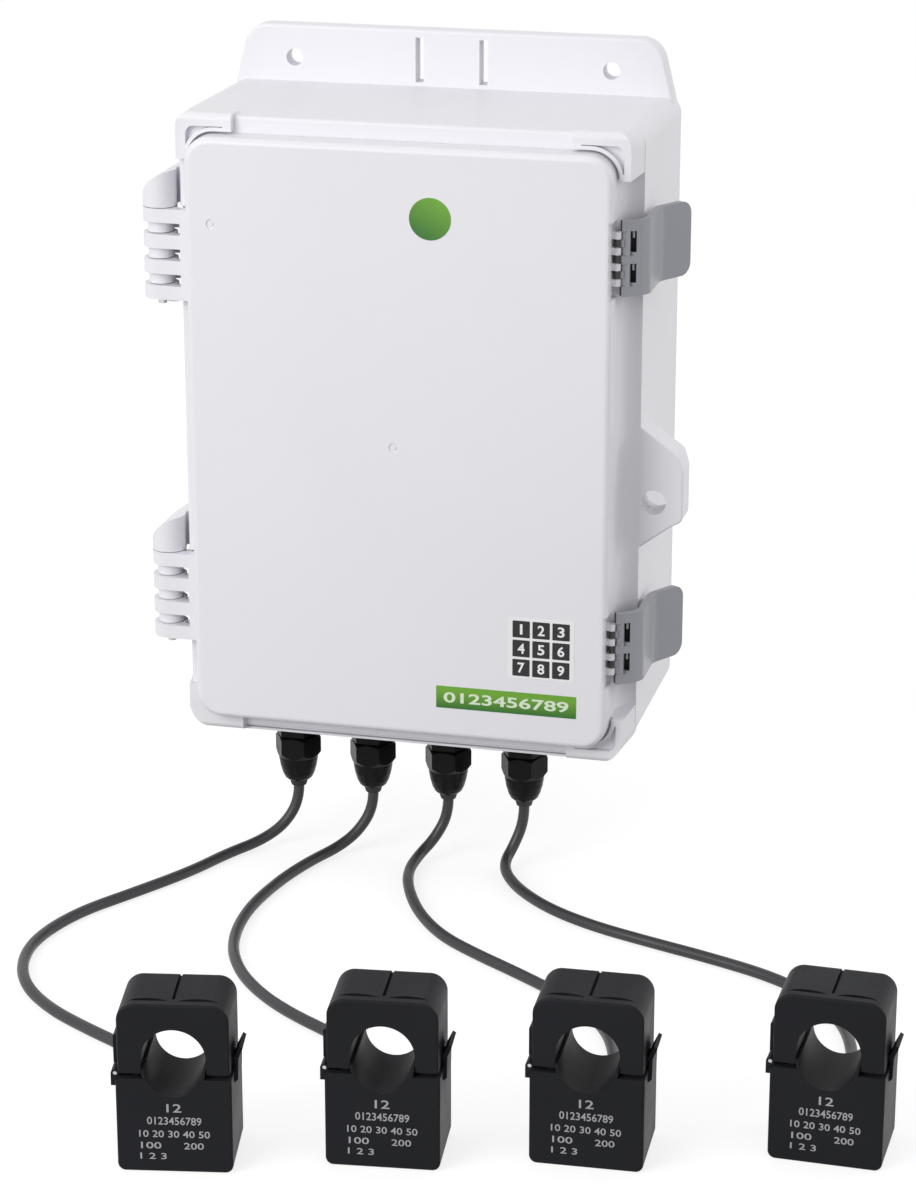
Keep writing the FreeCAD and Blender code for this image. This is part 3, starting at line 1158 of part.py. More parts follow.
def ct_base():
    half = CT_WIDTH / 2
    body = brick(-half, half, 0, CT_DEPTH, 0, CT_BASE_HEIGHT)
    body = body.makeFillet(CT_FOOT_ROUND, edges_along(body, Y_AXIS, lambda c: c.z < 1))
    upright_edges = edges_along(body, Z_AXIS, lambda c: True)
    body = body.makeFillet(0.8, upright_edges)
    inner = half - CT_WALL
    sleeve_outer = CT_BORE_RADIUS + CT_SLEEVE
    hollow = brick(-inner, inner, CT_WALL, CT_DEPTH - CT_WALL, CT_WALL, CT_BASE_HEIGHT + 1)
    sleeve = across(sleeve_outer, 0, CT_BORE_Z, 0, CT_DEPTH)
    below = brick(-half, half, -1, CT_DEPTH + 1, 0, CT_BORE_Z)
    body = cut(body, hollow)
    lip_y0 = CT_LEDGE + CT_WALL + CT_LIP_GAP
    lip_y1 = CT_DEPTH - CT_WALL - CT_LIP_GAP
    lip = brick(-CT_LIP_X, CT_LIP_X, lip_y0, lip_y1, CT_BASE_HEIGHT - 3, CT_BASE_HEIGHT + CT_LIP_RISE)
    shelf = brick(-inner - 0.5, inner + 0.5, CT_WALL - 0.5, CT_DEPTH - CT_WALL + 0.5,
                  CT_BASE_HEIGHT - 3, CT_BASE_HEIGHT)
    well = brick(-CT_LIP_X + CT_LIP, CT_LIP_X - CT_LIP, lip_y0 + CT_LIP, lip_y1 - CT_LIP,
                 CT_BASE_HEIGHT - 4, CT_BASE_HEIGHT + 3)
    hinge_side = brick(-half, -CT_LIP_X + 3, 0, CT_DEPTH, CT_BASE_HEIGHT, CT_BASE_HEIGHT + 3)
    clear_of_lining = CT_ARCH_RADIUS + CT_ARCH_LINING + CT_LIP_GAP
    middle = brick(-clear_of_lining, clear_of_lining, 0, CT_DEPTH, CT_BASE_HEIGHT, CT_BASE_HEIGHT + 3)
    rim = cut(fuse(lip, shelf), well, hinge_side, middle)
    body = fuse(body, rim, sleeve.common(below))
    body = cut(body, across(CT_BORE_RADIUS, 0, CT_BORE_Z, -1, CT_DEPTH + 1))
    trough = across(CT_HINGE_RADIUS + CT_HINGE_CLEARANCE, CT_HINGE_X, CT_HINGE_Z, -1, CT_DEPTH + 1)
    body = cut(body, trough)
    knuckles = []
    for y0 in (2.0, CT_DEPTH - 2.0 - CT_KNUCKLE):
        ring = across(CT_HINGE_RADIUS, CT_HINGE_X, CT_HINGE_Z, y0, y0 + CT_KNUCKLE)
        web = brick(CT_HINGE_X - CT_HINGE_RADIUS, -inner, y0, y0 + CT_KNUCKLE,
                    CT_HINGE_Z - 4.0, CT_HINGE_Z - 0.6)
        knuckles.append(fuse(ring, web))
    hook = snap_arm()
    body = fuse(body, hook, *knuckles)
    body = cut(body, across(CT_HINGE_PIN_RADIUS + HINGE_BORE_GAP, CT_HINGE_X, CT_HINGE_Z, -1, CT_DEPTH + 1))
    return cut(body, across(BOOT_TIP_RADIUS + GLAND_FIT, 0, BOOT_Z, CT_DEPTH - CT_WALL - 1, CT_DEPTH + 1))


def snap_arm():
    """The springy finger on the right side that holds the cap shut."""
    wall = CT_WIDTH / 2
    foot = CT_BASE_HEIGHT - 5
    tip = CT_BASE_HEIGHT + 7
    corners = [(wall - 0.5, foot, 0), (wall + 1.0, foot + 1.5, 0.5), (wall + 1.2, tip - 3.5, 0.5),
               (wall + 2.6, tip, 0), (wall + 1.6, tip + 0.6, 0), (wall + 0.1, tip - 2.6, 0),
               (wall - 0.3, tip - 3.4, 0), (wall + 0.1, tip - 4.2, 0), (wall + 0.1, foot + 4.0, 0),
               (wall - 0.5, foot + 4.0, 0)]
    face = outline(corners, lambda x, z: Vector(x, CT_DEPTH / 2 - 5, z))
    return face.extrude(Vector(0, 10, 0))


def ct_cap():
    half = CT_WIDTH / 2 - CT_CAP_INSET
    body = brick(-half, half, CT_LEDGE, CT_DEPTH, CT_CAP_BOTTOM, CT_HEIGHT)
    body = body.makeFillet(CT_ROUND, edges_along(body, Y_AXIS, lambda c: c.z > CT_HEIGHT - 1))
    rear = [edge for edge in body.Edges
            if abs(edge.CenterOfMass.y - CT_DEPTH) < 1e-6 and edge.CenterOfMass.z > CT_CAP_BOTTOM + 1]
    body = body.makeFillet(4.0, rear)
    front = [edge for edge in body.Edges
             if abs(edge.CenterOfMass.y - CT_LEDGE) < 1e-6 and edge.CenterOfMass.z > CT_CAP_BOTTOM + 1]
    body = body.makeFillet(0.8, front)
    wall = CT_WALL
    hollow = brick(-half + wall, half - wall, CT_LEDGE + wall, CT_DEPTH - wall, CT_CAP_BOTTOM - 1, CT_CAP_CEILING)
    hollow = hollow.makeFillet(CT_ROUND - wall, edges_along(hollow, Y_AXIS, lambda c: c.z > CT_HEIGHT - 5))
    arch = fuse(across(CT_ARCH_RADIUS, 0, CT_ARCH_Z, -1, CT_DEPTH + 1),
                brick(-CT_ARCH_RADIUS, CT_ARCH_RADIUS, -1, CT_DEPTH + 1, CT_CAP_BOTTOM - 1, CT_ARCH_Z))
    lining = CT_ARCH_RADIUS + CT_ARCH_LINING
    lined = fuse(across(lining, 0, CT_ARCH_Z, CT_LEDGE, CT_DEPTH),
                 brick(-lining, lining, CT_LEDGE, CT_DEPTH, CT_CAP_BOTTOM, CT_ARCH_Z))
    body = cut(body, cut(hollow, lined), arch)
    body = cut(body, *crescents())
    body = cut(body, brick(-0.5, 0.5, 5.4, CT_DEPTH + 1, CT_HEIGHT - 1.6, CT_HEIGHT + 1))
    trough = across(CT_HINGE_RADIUS + CT_HINGE_CLEARANCE, CT_HINGE_X, CT_HINGE_Z, -1, CT_DEPTH + 1)
    body = cut(body, trough)
    y0 = 2.0 + CT_KNUCKLE + CT_HINGE_CLEARANCE
    y1 = CT_DEPTH - y0
    ring = across(CT_HINGE_RADIUS, CT_HINGE_X, CT_HINGE_Z, y0, y1)
    strap = brick(CT_HINGE_X - CT_HINGE_RADIUS, -half + 0.8, y0, y1, CT_HINGE_Z + 0.6, CT_HINGE_Z + 10.0)
    strap = strap.makeChamfer(0.6, edges_along(strap, Y_AXIS, lambda c: c.z > CT_HINGE_Z + 9 and c.x < -half))
    bump = brick(half - 1, half + 0.7, CT_DEPTH / 2 - 4, CT_DEPTH / 2 + 4, CT_BASE_HEIGHT + 1.6, CT_BASE_HEIGHT + 2.6)
    body = fuse(body, ring, strap, bump)
    return cut(body, across(CT_HINGE_PIN_RADIUS + HINGE_BORE_GAP, CT_HINGE_X, CT_HINGE_Z, -1, CT_DEPTH + 1))


def crescents():
    """Two shallow moon-shaped pockets in the cap's top, one each side of the slit."""
    tools = []
    for x0, x1 in ((-13.8, -1.3), (1.3, 13.8)):
        left = Vector(x0, 4.2, CT_HEIGHT - 1.5)
        right = Vector(x1, 4.2, CT_HEIGHT - 1.5)
        back = Vector((x0 + x1) / 2, 6.0, CT_HEIGHT - 1.5)
        face = Part.Face(Part.Wire([Part.Arc(left, back, right).toShape(), Part.LineSegment(right, left).toShape()]))
        tools.append(face.extrude(Vector(0, 0, 3)))
    return tools


def core_half(low, high, bar_low, bar_high):
    """A U of stacked iron: two legs and the bar that joins them."""
    outer = CORE_OUTER
    y0 = (CT_DEPTH - CORE_DEPTH) / 2
    y1 = y0 + CORE_DEPTH
    return fuse(brick(-outer, -outer + CORE_LEG, y0, y1, low, high),
                brick(outer - CORE_LEG, outer, y0, y1, low, high),
                brick(-outer, outer, y0, y1, bar_low, bar_high))


def ct_core():
    bar_low = CT_WALL + (COIL_HEIGHT - CORE_LEG) / 2
    return core_half(bar_low, CORE_SPLIT_Z, bar_low, bar_low + CORE_LEG)


def ct_cap_core():
    top = CT_CAP_CEILING - CORE_GAP / 4
    body = core_half(CORE_SPLIT_Z, top, CT_ARCH_Z + CT_ARCH_RADIUS + CT_ARCH_LINING + CORE_GAP, top)
    return body.makeFillet(CT_ROUND - CT_WALL - 1.0, edges_along(body, Y_AXIS, lambda c: c.z > top - 0.1))


def ct_coil():
    """The winding on its bobbin, round the bar of the lower core."""
    half = COIL_LENGTH / 2
    y0 = (CT_DEPTH - CORE_DEPTH) / 2
    bar_low = CT_WALL + (COIL_HEIGHT - CORE_LEG) / 2
    body = brick(-half, half, y0 - 3, y0 + CORE_DEPTH + 3, CT_WALL, CT_WALL + COIL_HEIGHT)
    body = body.makeFillet(2.0, edges_along(body, X_AXIS, lambda c: True))
    return cut(body, brick(-half - 1, half + 1, y0, y0 + CORE_DEPTH, bar_low, bar_low + CORE_LEG))


def ct_hinge_pin():
    return across(CT_HINGE_PIN_RADIUS, CT_HINGE_X, CT_HINGE_Z, 2.2, CT_DEPTH - 2.2)


def ct_boot():
    """The strain relief where the cable goes into the base's rear wall."""
    plug = across(BOOT_TIP_RADIUS, 0, BOOT_Z, CT_DEPTH - CT_WALL, CT_DEPTH + 0.5)
    cone = Part.makeCone(BOOT_RADIUS, BOOT_TIP_RADIUS, BOOT_LENGTH, Vector(0, CT_DEPTH, BOOT_Z), Y_AXIS)
    return fuse(plug, cone)


def cord(i):
    """A free cable, from the gland's mouth to the boot behind its transformer."""
    mouth = Vector(GLAND_XS[i], -GLAND_DEPTH, GLAND_MOUTH)
    below = mouth - Vector(0, 0, CABLE_DROP)
    x, y, turn = CT_PLACES[i]
    angle = math.radians(turn)
    rearward = Vector(-math.sin(angle), math.cos(angle), 0)
    end = Vector(x, y, FLOOR_Z + BOOT_Z) + rearward * (CT_DEPTH + BOOT_LENGTH)
    behind = end + rearward * CABLE_LEAD_IN
    points = [mouth, below] + [Vector(*point) for point in ROUTES[i]] + [behind, end]
    print("cord", i + 1, "points", [[round(v, 2) for v in point] for point in points])
    return tube("cord_" + str(i + 1), points, CABLE_RADIUS)


def main():
    os.makedirs("parts", exist_ok=True)
    save("back_case", back_case())
    save("front_cover", front_cover())
    save("lid_gasket", lid_gasket())
    save("cover_hinge_pins", *cover_hinge_pins())
    save("latch_upper", latch(LATCH_Z))
    save("latch_lower", latch(-LATCH_Z))
    save("latch_pins", *latch_pins())
    save("gland_bodies", *[gland_body(x) for x in GLAND_XS])
    save("gland_washers", *[gland_washer(x) for x in GLAND_XS])
    save("gland_locknuts", *[gland_locknut(x) for x in GLAND_XS])
    save("gland_nuts", *[gland_nut(x) for x in GLAND_XS])
    save("gland_seals", *[gland_seal(x) for x in GLAND_XS])
    save("inner_leads", *[inner_lead(i) for i in range(GLAND_COUNT)])
    save("mounting_plate", mounting_plate())
    save("plate_screws", *[pan_screw(PLATE_SCREW_RADIUS, PLATE_SCREW_HEAD, x, z, CASE_BACK + 1, PLATE_FRONT)
                           for x, z in plate_corners()])
    save("board_standoffs", *[standoff(x, z) for x, z in board_corners()])
    save("main_board", main_board())
    save("board_screws", *[pan_screw(BOARD_SCREW_RADIUS, BOARD_SCREW_HEAD, x, z, BOARD_BACK - 5, BOARD_FRONT)
                           for x, z in board_corners()])
    save("terminal_block", terminal_block())
    save("terminal_screws", *terminal_screws())
    save("battery_holder", battery_holder())
    save("battery_cells", *battery_cells())
    save("battery_plug", battery_plug())
    save("battery_lead", *battery_lead())
    save("antenna", antenna())
    save("buzzer", buzzer())
    save("storage_capacitors", *storage_capacitors())
    save("processor", processor())
    save("radio_module", radio_module())
    save("status_leds", *status_leds())
    save("button_housing", button_housing())
    save("test_button", test_button())
    count = range(len(CT_PLACES))
    base = ct_base()
    cap = ct_cap()
    cap_core = ct_cap_core()
    for i in count:
        save("ct_base_" + str(i + 1), placed(base, i))
        save("ct_cap_" + str(i + 1), placed(cap, i))
        save("ct_cap_core_" + str(i + 1), placed(cap_core, i))
        save("cord_" + str(i + 1), cord(i))
    save("ct_cores", *[placed(ct_core(), i) for i in count])
    save("ct_coils", *[placed(ct_coil(), i) for i in count])
    save("ct_hinge_pins", *[placed(ct_hinge_pin(), i) for i in count])
    save("ct_cable_boots", *[placed(ct_boot(), i) for i in count])


main()
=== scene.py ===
# %% [markdown]
# This lesson dresses a power failure alarm: a white wall case with a hinged cover and two grey
# latches, four cable glands under it, and four cables that run over the floor to small black
# current transformers. The solid parts come in as a fixed frame, so what is left for Blender is
# the camera, the cables, the printed marks, a few dark films and blocks of painted shade, every material,
# and the light.

import json
import math

import bmesh
import bpy
from mathutils import Matrix, Vector

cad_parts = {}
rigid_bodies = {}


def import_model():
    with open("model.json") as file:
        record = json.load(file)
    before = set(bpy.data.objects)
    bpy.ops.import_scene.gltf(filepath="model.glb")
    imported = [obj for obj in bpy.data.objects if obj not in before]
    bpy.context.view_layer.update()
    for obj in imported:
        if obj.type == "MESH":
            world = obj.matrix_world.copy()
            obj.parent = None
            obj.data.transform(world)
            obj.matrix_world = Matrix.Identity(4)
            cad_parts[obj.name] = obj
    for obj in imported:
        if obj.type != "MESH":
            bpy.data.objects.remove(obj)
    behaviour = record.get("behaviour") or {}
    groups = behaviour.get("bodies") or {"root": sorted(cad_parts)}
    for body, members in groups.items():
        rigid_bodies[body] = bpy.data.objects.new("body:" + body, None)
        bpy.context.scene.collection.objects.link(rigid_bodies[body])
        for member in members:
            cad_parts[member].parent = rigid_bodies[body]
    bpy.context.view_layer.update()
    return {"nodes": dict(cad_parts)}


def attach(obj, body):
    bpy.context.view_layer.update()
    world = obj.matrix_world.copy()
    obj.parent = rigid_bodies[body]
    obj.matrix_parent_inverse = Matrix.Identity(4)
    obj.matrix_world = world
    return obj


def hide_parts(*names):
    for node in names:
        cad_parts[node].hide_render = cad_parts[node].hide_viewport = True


for default_object in list(bpy.data.objects):
    bpy.data.objects.remove(default_object)
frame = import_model()
nodes = frame["nodes"]

# %% [markdown]
# The camera stands to the right of the object and a little above it, a long way off, so that
# upright edges stay nearly upright. Its place and direction come from the case's square edges in
# the photograph, and the long lens keeps the same crop.

# %% Camera
CAMERA_PLACE = Vector((0.3001, -1.2099, 0.3415))
CAMERA_LOOK = Vector((-0.2273, 0.9184, -0.3239))
SENSOR_WIDTH = 36.0
LENS = 105.0

camera_data = bpy.data.cameras.new("camera")
camera_data.sensor_width = SENSOR_WIDTH
camera_data.lens = LENS
camera = bpy.data.objects.new("camera", camera_data)
camera.location = CAMERA_PLACE
camera.rotation_mode = "QUATERNION"
camera.rotation_quaternion = CAMERA_LOOK.to_track_quat("-Z", "Y")
bpy.context.scene.collection.objects.link(camera)
bpy.context.scene.camera = camera
print("camera", [round(v, 3) for v in CAMERA_PLACE])

# %% [markdown]
# Each cable leaves its gland straight down, turns onto the floor and lies there in a loose curve
# until it meets the boot of its transformer. A NURBS curve is right for it: its control points
# pull the line smoothly, as a stiff jacket does, and the bevel gives it a round section. The order
# and the end points are set after the points are added, or Blender draws straight runs. The bevel's
# depth is 1, so that each point's own radius is the cable's: Blender's box round a curve uses it.

# %% Cable routes, in metres
CABLE_RADIUS = 0.002
CABLE_ROUTES = [
    {"length": 0.2948, "points": [
        (-0.04635, -0.055, -0.1425), (-0.04635, -0.055, -0.1490), (-0.0510, -0.0586, -0.1578),
        (-0.0586, -0.0646, -0.1628), (-0.0676, -0.0760, -0.164), (-0.0760, -0.0960, -0.164),
        (-0.0895, -0.1185, -0.164), (-0.1035, -0.1405, -0.164), (-0.1100, -0.1645, -0.164),
        (-0.1078, -0.1845, -0.164), (-0.0995, -0.2020, -0.164), (-0.0855, -0.2165, -0.164),
        (-0.0687, -0.2275, -0.164), (-0.0535, -0.2362, -0.164), (-0.0390, -0.2450, -0.164),
        (-0.0265, -0.2555, -0.1635), (-0.0190, -0.2670, -0.162), (-0.01843, -0.26823, -0.161),
        (-0.01679, -0.27708, -0.161)]},
    {"length": 0.2610, "points": [
        (-0.01785, -0.055, -0.1425), (-0.01785, -0.055, -0.1490), (-0.0226, -0.0580, -0.1578),
        (-0.0290, -0.0636, -0.1628), (-0.0364, -0.0760, -0.164), (-0.0424, -0.0970, -0.164),
        (-0.0460, -0.1245, -0.164), (-0.0428, -0.1518, -0.164), (-0.0338, -0.1723, -0.164),
        (-0.0212, -0.1883, -0.164), (-0.0070, -0.2006, -0.164), (0.0092, -0.2110, -0.164),
        (0.0228, -0.2205, -0.164), (0.0346, -0.2320, -0.1635), (0.0424, -0.2460, -0.162),
        (0.04478, -0.25028, -0.161), (0.04579, -0.25922, -0.161)]},
    {"length": 0.2468, "points": [
        (0.01065, -0.055, -0.1425), (0.01065, -0.055, -0.1490), (0.0064, -0.0580, -0.1578),
        (0.0016, -0.0642, -0.1628), (0.0008, -0.0764, -0.164), (0.0050, -0.0920, -0.164),
        (0.0140, -0.1116, -0.164), (0.0266, -0.1286, -0.164), (0.0420, -0.1404, -0.164),
        (0.0569, -0.1504, -0.164), (0.0714, -0.1608, -0.164), (0.0860, -0.1725, -0.164),
        (0.0974, -0.1880, -0.164), (0.1038, -0.2060, -0.1635), (0.1072, -0.2260, -0.162),
        (0.1076, -0.23524, -0.161), (0.1080, -0.24423, -0.161)]},
    {"length": 0.2626, "points": [
        (0.03915, -0.055, -0.1425), (0.03915, -0.055, -0.1490), (0.0360, -0.0576, -0.158),
        (0.0336, -0.0626, -0.1628), (0.0366, -0.0716, -0.164), (0.0450, -0.0844, -0.164),
        (0.0586, -0.0974, -0.164), (0.0766, -0.1080, -0.164), (0.0980, -0.1162, -0.164),
        (0.1206, -0.1242, -0.164), (0.1436, -0.1340, -0.164), (0.1604, -0.1470, -0.164),
        (0.1716, -0.1636, -0.164), (0.1776, -0.1826, -0.1635), (0.1800, -0.2040, -0.162),
        (0.18064, -0.21591, -0.161), (0.1804, -0.22491, -0.161)]},
]

# %% Cables
NURBS_ORDER = 3
CURVE_STEPS = 12
ROUND_STEPS = 5
cables = []
for number, route in enumerate(CABLE_ROUTES, 1):
    curve = bpy.data.curves.new("cable_" + str(number), "CURVE")
    curve.dimensions = "3D"
    spline = curve.splines.new("NURBS")
    spline.points.add(len(route["points"]) - 1)
    for point, place in zip(spline.points, route["points"]):
        point.co = (*place, 1.0)
        point.radius = CABLE_RADIUS
    spline.order_u = NURBS_ORDER
    spline.use_endpoint_u = True
    spline.resolution_u = CURVE_STEPS
    curve.bevel_depth = 1.0
    curve.bevel_resolution = ROUND_STEPS
    cable = bpy.data.objects.new(curve.name, curve)
    bpy.context.scene.collection.objects.link(cable)
    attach(cable, "case")
    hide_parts("cord_" + str(number))
    cables.append(cable)
print("cables", len(cables))

# %% [markdown]
# Materials share a few effects, so these are node groups with named inputs: a fine moulded grain,
# a slow drift of tone, and the faint smudges that make a surface's gloss uneven. A group gives out
# only a colour or a value. The shader itself stays in each material, where its plain numbers can
# be read.

# %% Helper for node groups
def new_group(name, inputs, output, kind):
    """A shader group with (label, socket kind, default) inputs and one output."""
    tree = bpy.data.node_groups.new(name, "ShaderNodeTree")
    for label, socket_kind, default in inputs:
        socket = tree.interface.new_socket(name=label, in_out="INPUT", socket_type=socket_kind)
        if default is not None:
            socket.default_value = default
    tree.interface.new_socket(name=output, in_out="OUTPUT", socket_type=kind)
    return tree, tree.nodes.new("NodeGroupInput"), tree.nodes.new("NodeGroupOutput")


# %% Grain: the fine texture of a moulded surface, as a height
grain, grain_in, grain_out = new_group(
    "moulded grain",
    [("Vector", "NodeSocketVector", None), ("Scale", "NodeSocketFloat", 1500.0),
     ("Pits", "NodeSocketFloat", 0.3)],
    "Height", "NodeSocketFloat")
fine = grain.nodes.new("ShaderNodeTexNoise")
fine.inputs["Detail"].default_value = 3.0
pits = grain.nodes.new("ShaderNodeTexVoronoi")
pits.feature = "SMOOTH_F1"
blend_heights = grain.nodes.new("ShaderNodeMix")
grain.links.new(grain_in.outputs["Vector"], fine.inputs["Vector"])
grain.links.new(grain_in.outputs["Scale"], fine.inputs["Scale"])
grain.links.new(grain_in.outputs["Vector"], pits.inputs["Vector"])
grain.links.new(grain_in.outputs["Scale"], pits.inputs["Scale"])
grain.links.new(grain_in.outputs["Pits"], blend_heights.inputs["Factor"])
grain.links.new(fine.outputs["Fac"], blend_heights.inputs["A"])
grain.links.new(pits.outputs["Distance"], blend_heights.inputs["B"])
grain.links.new(blend_heights.outputs["Result"], grain_out.inputs["Height"])
print("group", grain.name)

# %% Tone: a slow drift between two near colours
tone, tone_in, tone_out = new_group(
    "tone drift",
    [("Vector", "NodeSocketVector", None), ("Light", "NodeSocketColor", (0.8, 0.8, 0.8, 1)),
     ("Dark", "NodeSocketColor", (0.7, 0.7, 0.7, 1)), ("Scale", "NodeSocketFloat", 12.0)],
    "Color", "NodeSocketColor")
drift = tone.nodes.new("ShaderNodeTexNoise")
drift.inputs["Detail"].default_value = 4.0
drift.inputs["Roughness"].default_value = 0.6
spread = tone.nodes.new("ShaderNodeMapRange")
spread.inputs["From Min"].default_value = 0.3
spread.inputs["From Max"].default_value = 0.7
tint = tone.nodes.new("ShaderNodeMix")
tint.data_type = "RGBA"
tone.links.new(tone_in.outputs["Vector"], drift.inputs["Vector"])
tone.links.new(tone_in.outputs["Scale"], drift.inputs["Scale"])
tone.links.new(drift.outputs["Fac"], spread.inputs["Value"])
tone.links.new(spread.outputs["Result"], tint.inputs["Factor"])
tone.links.new(tone_in.outputs["Dark"], tint.inputs["A"])
tone.links.new(tone_in.outputs["Light"], tint.inputs["B"])
tone.links.new(tint.outputs["Result"], tone_out.inputs["Color"])
print("group", tone.name)

# %% Smudges: an uneven gloss, as a roughness
smudge, smudge_in, smudge_out = new_group(
    "smudged gloss",
    [("Vector", "NodeSocketVector", None), ("Low", "NodeSocketFloat", 0.3),
     ("High", "NodeSocketFloat", 0.45), ("Scale", "NodeSocketFloat", 45.0)],
    "Roughness", "NodeSocketFloat")
patches = smudge.nodes.new("ShaderNodeTexNoise")
patches.inputs["Detail"].default_value = 5.0
patches.inputs["Distortion"].default_value = 0.6
gloss_range = smudge.nodes.new("ShaderNodeMapRange")
gloss_range.inputs["From Min"].default_value = 0.35
gloss_range.inputs["From Max"].default_value = 0.65
smudge.links.new(smudge_in.outputs["Vector"], patches.inputs["Vector"])
smudge.links.new(smudge_in.outputs["Scale"], patches.inputs["Scale"])
smudge.links.new(patches.outputs["Fac"], gloss_range.inputs["Value"])
smudge.links.new(smudge_in.outputs["Low"], gloss_range.inputs["To Min"])
smudge.links.new(smudge_in.outputs["High"], gloss_range.inputs["To Max"])
smudge.links.new(gloss_range.outputs["Result"], smudge_out.inputs["Roughness"])
print("group", smudge.name)

# %% [markdown]
# Some finishes change along one direction: the green prints run from light to dark, a battery's wrap ends
# in a dark band, one of two wires is red, and the latches get painted shade inside their hinge.
# This group measures how far a point lies along a direction and turns that into a mask from 0 to 1.

# %% Zone: a mask that rises from Start to End along a direction
zone, zone_in, zone_out = new_group(
    "zone mask",
    [("Vector", "NodeSocketVector", None), ("Direction", "NodeSocketVector", (1.0, 0.0, 0.0)),
     ("Start", "NodeSocketFloat", 0.0), ("End", "NodeSocketFloat", 0.001)],
    "Mask", "NodeSocketFloat")
along = zone.nodes.new("ShaderNodeVectorMath")
along.operation = "DOT_PRODUCT"
rise = zone.nodes.new("ShaderNodeMapRange")
zone.links.new(zone_in.outputs["Vector"], along.inputs[0])
zone.links.new(zone_in.outputs["Direction"], along.inputs[1])
zone.links.new(along.outputs["Value"], rise.inputs["Value"])
zone.links.new(zone_in.outputs["Start"], rise.inputs["From Min"])
zone.links.new(zone_in.outputs["End"], rise.inputs["From Max"])
zone.links.new(rise.outputs["Result"], zone_out.inputs["Mask"])
print("group", zone.name)

# %% Drawn lines: the fine streaks of rolled or turned metal, as a height
drawn, drawn_in, drawn_out = new_group(
    "drawn lines",
    [("Vector", "NodeSocketVector", None), ("Stretch", "NodeSocketVector", (60.0, 2500.0, 2500.0))],
    "Height", "NodeSocketFloat")
pull = drawn.nodes.new("ShaderNodeVectorMath")
pull.operation = "MULTIPLY"
streaks = drawn.nodes.new("ShaderNodeTexNoise")
streaks.inputs["Scale"].default_value = 1.0
streaks.inputs["Detail"].default_value = 3.0
drawn.links.new(drawn_in.outputs["Vector"], pull.inputs[0])
drawn.links.new(drawn_in.outputs["Stretch"], pull.inputs[1])
drawn.links.new(pull.outputs["Vector"], streaks.inputs["Vector"])
drawn.links.new(streaks.outputs["Fac"], drawn_out.inputs["Height"])
print("group", drawn.name)

# %% [markdown]
# Most of the object is moulded plastic or rubber, so one helper makes that finish: a tone that
# drifts a little, an uneven gloss, and a grain that is given its real depth in metres. Metal gets
# its own helper, because its fine lines run in one direction.

# %% Helpers for moulded and metal finishes
PLASTIC_DRIFT_SCALE = 12.0
METAL_DRIFT_SCALE = 90.0
METAL_RELIEF = 0.000002


def place_group(material, tree):
    """One of the shared groups, set into a material."""
    node = material.node_tree.nodes.new("ShaderNodeGroup")
    node.node_tree = tree
    return node


def shader_of(material):
    """The Principled shader of a material."""
    return material.node_tree.nodes["Principled BSDF"]


def start_material(name):
    """A material with its Principled shader and Object coordinates."""
    material = bpy.data.materials.new(name)
    material.use_nodes = True
    coordinates = material.node_tree.nodes.new("ShaderNodeTexCoord")
    return material, shader_of(material), coordinates.outputs["Object"]


def dress(name, light, dark, gloss, drift_scale, height, depth, specular=0.5):
    """A material with a drifting tone, an uneven gloss and a fine relief, and the relief's node."""
    material, shader, place = start_material(name)
    shader.inputs["Specular IOR Level"].default_value = specular
    links = material.node_tree.links
    colour = place_group(material, tone)
    colour.inputs["Light"].default_value = (*light, 1)
    colour.inputs["Dark"].default_value = (*dark, 1)
    colour.inputs["Scale"].default_value = drift_scale
    rough = place_group(material, smudge)
    rough.inputs["Low"].default_value = gloss[0]
    rough.inputs["High"].default_value = gloss[1]
    relief = place_group(material, height)
    bump = material.node_tree.nodes.new("ShaderNodeBump")
    bump.inputs["Distance"].default_value = depth
    for node in (colour, rough, relief):
        links.new(place, node.inputs["Vector"])
    links.new(colour.outputs["Color"], shader.inputs["Base Color"])
    links.new(rough.outputs["Roughness"], shader.inputs["Roughness"])
    links.new(relief.outputs["Height"], bump.inputs["Height"])
    links.new(bump.outputs["Normal"], shader.inputs["Normal"])
    return material, relief


def moulded(name, light, dark, gloss, grain_scale=1500.0, grain_depth=0.000003, specular=0.5):
    """A moulded plastic or rubber."""
    material, relief = dress(name, light, dark, gloss, PLASTIC_DRIFT_SCALE, grain, grain_depth,
                             specular)
    relief.inputs["Scale"].default_value = grain_scale
    return material


def metal(name, light, dark, gloss, stretch):
    """A bare metal whose streaks run where stretch is small."""
    material, relief = dress(name, light, dark, gloss, METAL_DRIFT_SCALE, drawn, METAL_RELIEF)
    relief.inputs["Stretch"].default_value = stretch
    shader_of(material).inputs["Metallic"].default_value = 1.0
    return material


def paint_over(material, start, end, direction, colour):
    """Lay a second colour over a finish where the zone mask rises."""
    links = material.node_tree.links
    shader = shader_of(material)
    place = material.node_tree.nodes["Texture Coordinate"].outputs["Object"]
    below = shader.inputs["Base Color"].links[0].from_socket
    mask = place_group(material, zone)
    mask.inputs["Direction"].default_value = direction
    mask.inputs["Start"].default_value = start
    mask.inputs["End"].default_value = end
    over = material.node_tree.nodes.new("ShaderNodeMix")
    over.data_type = "RGBA"
    over.inputs["B"].default_value = (*colour, 1)
    links.new(place, mask.inputs["Vector"])
    links.new(mask.outputs["Mask"], over.inputs["Factor"])
    links.new(below, over.inputs["A"])
    links.new(over.outputs["Result"], shader.inputs["Base Color"])


print("helpers ready")

# %% [markdown]
# The case and cover are one smooth near-white plastic with a faint violet cast, the case a little
# duller. The latches are mid grey. Glands, cables and transformers are near black, and differ
# mainly in gloss: nylon shines, the cable jacket and the transformers are duller.

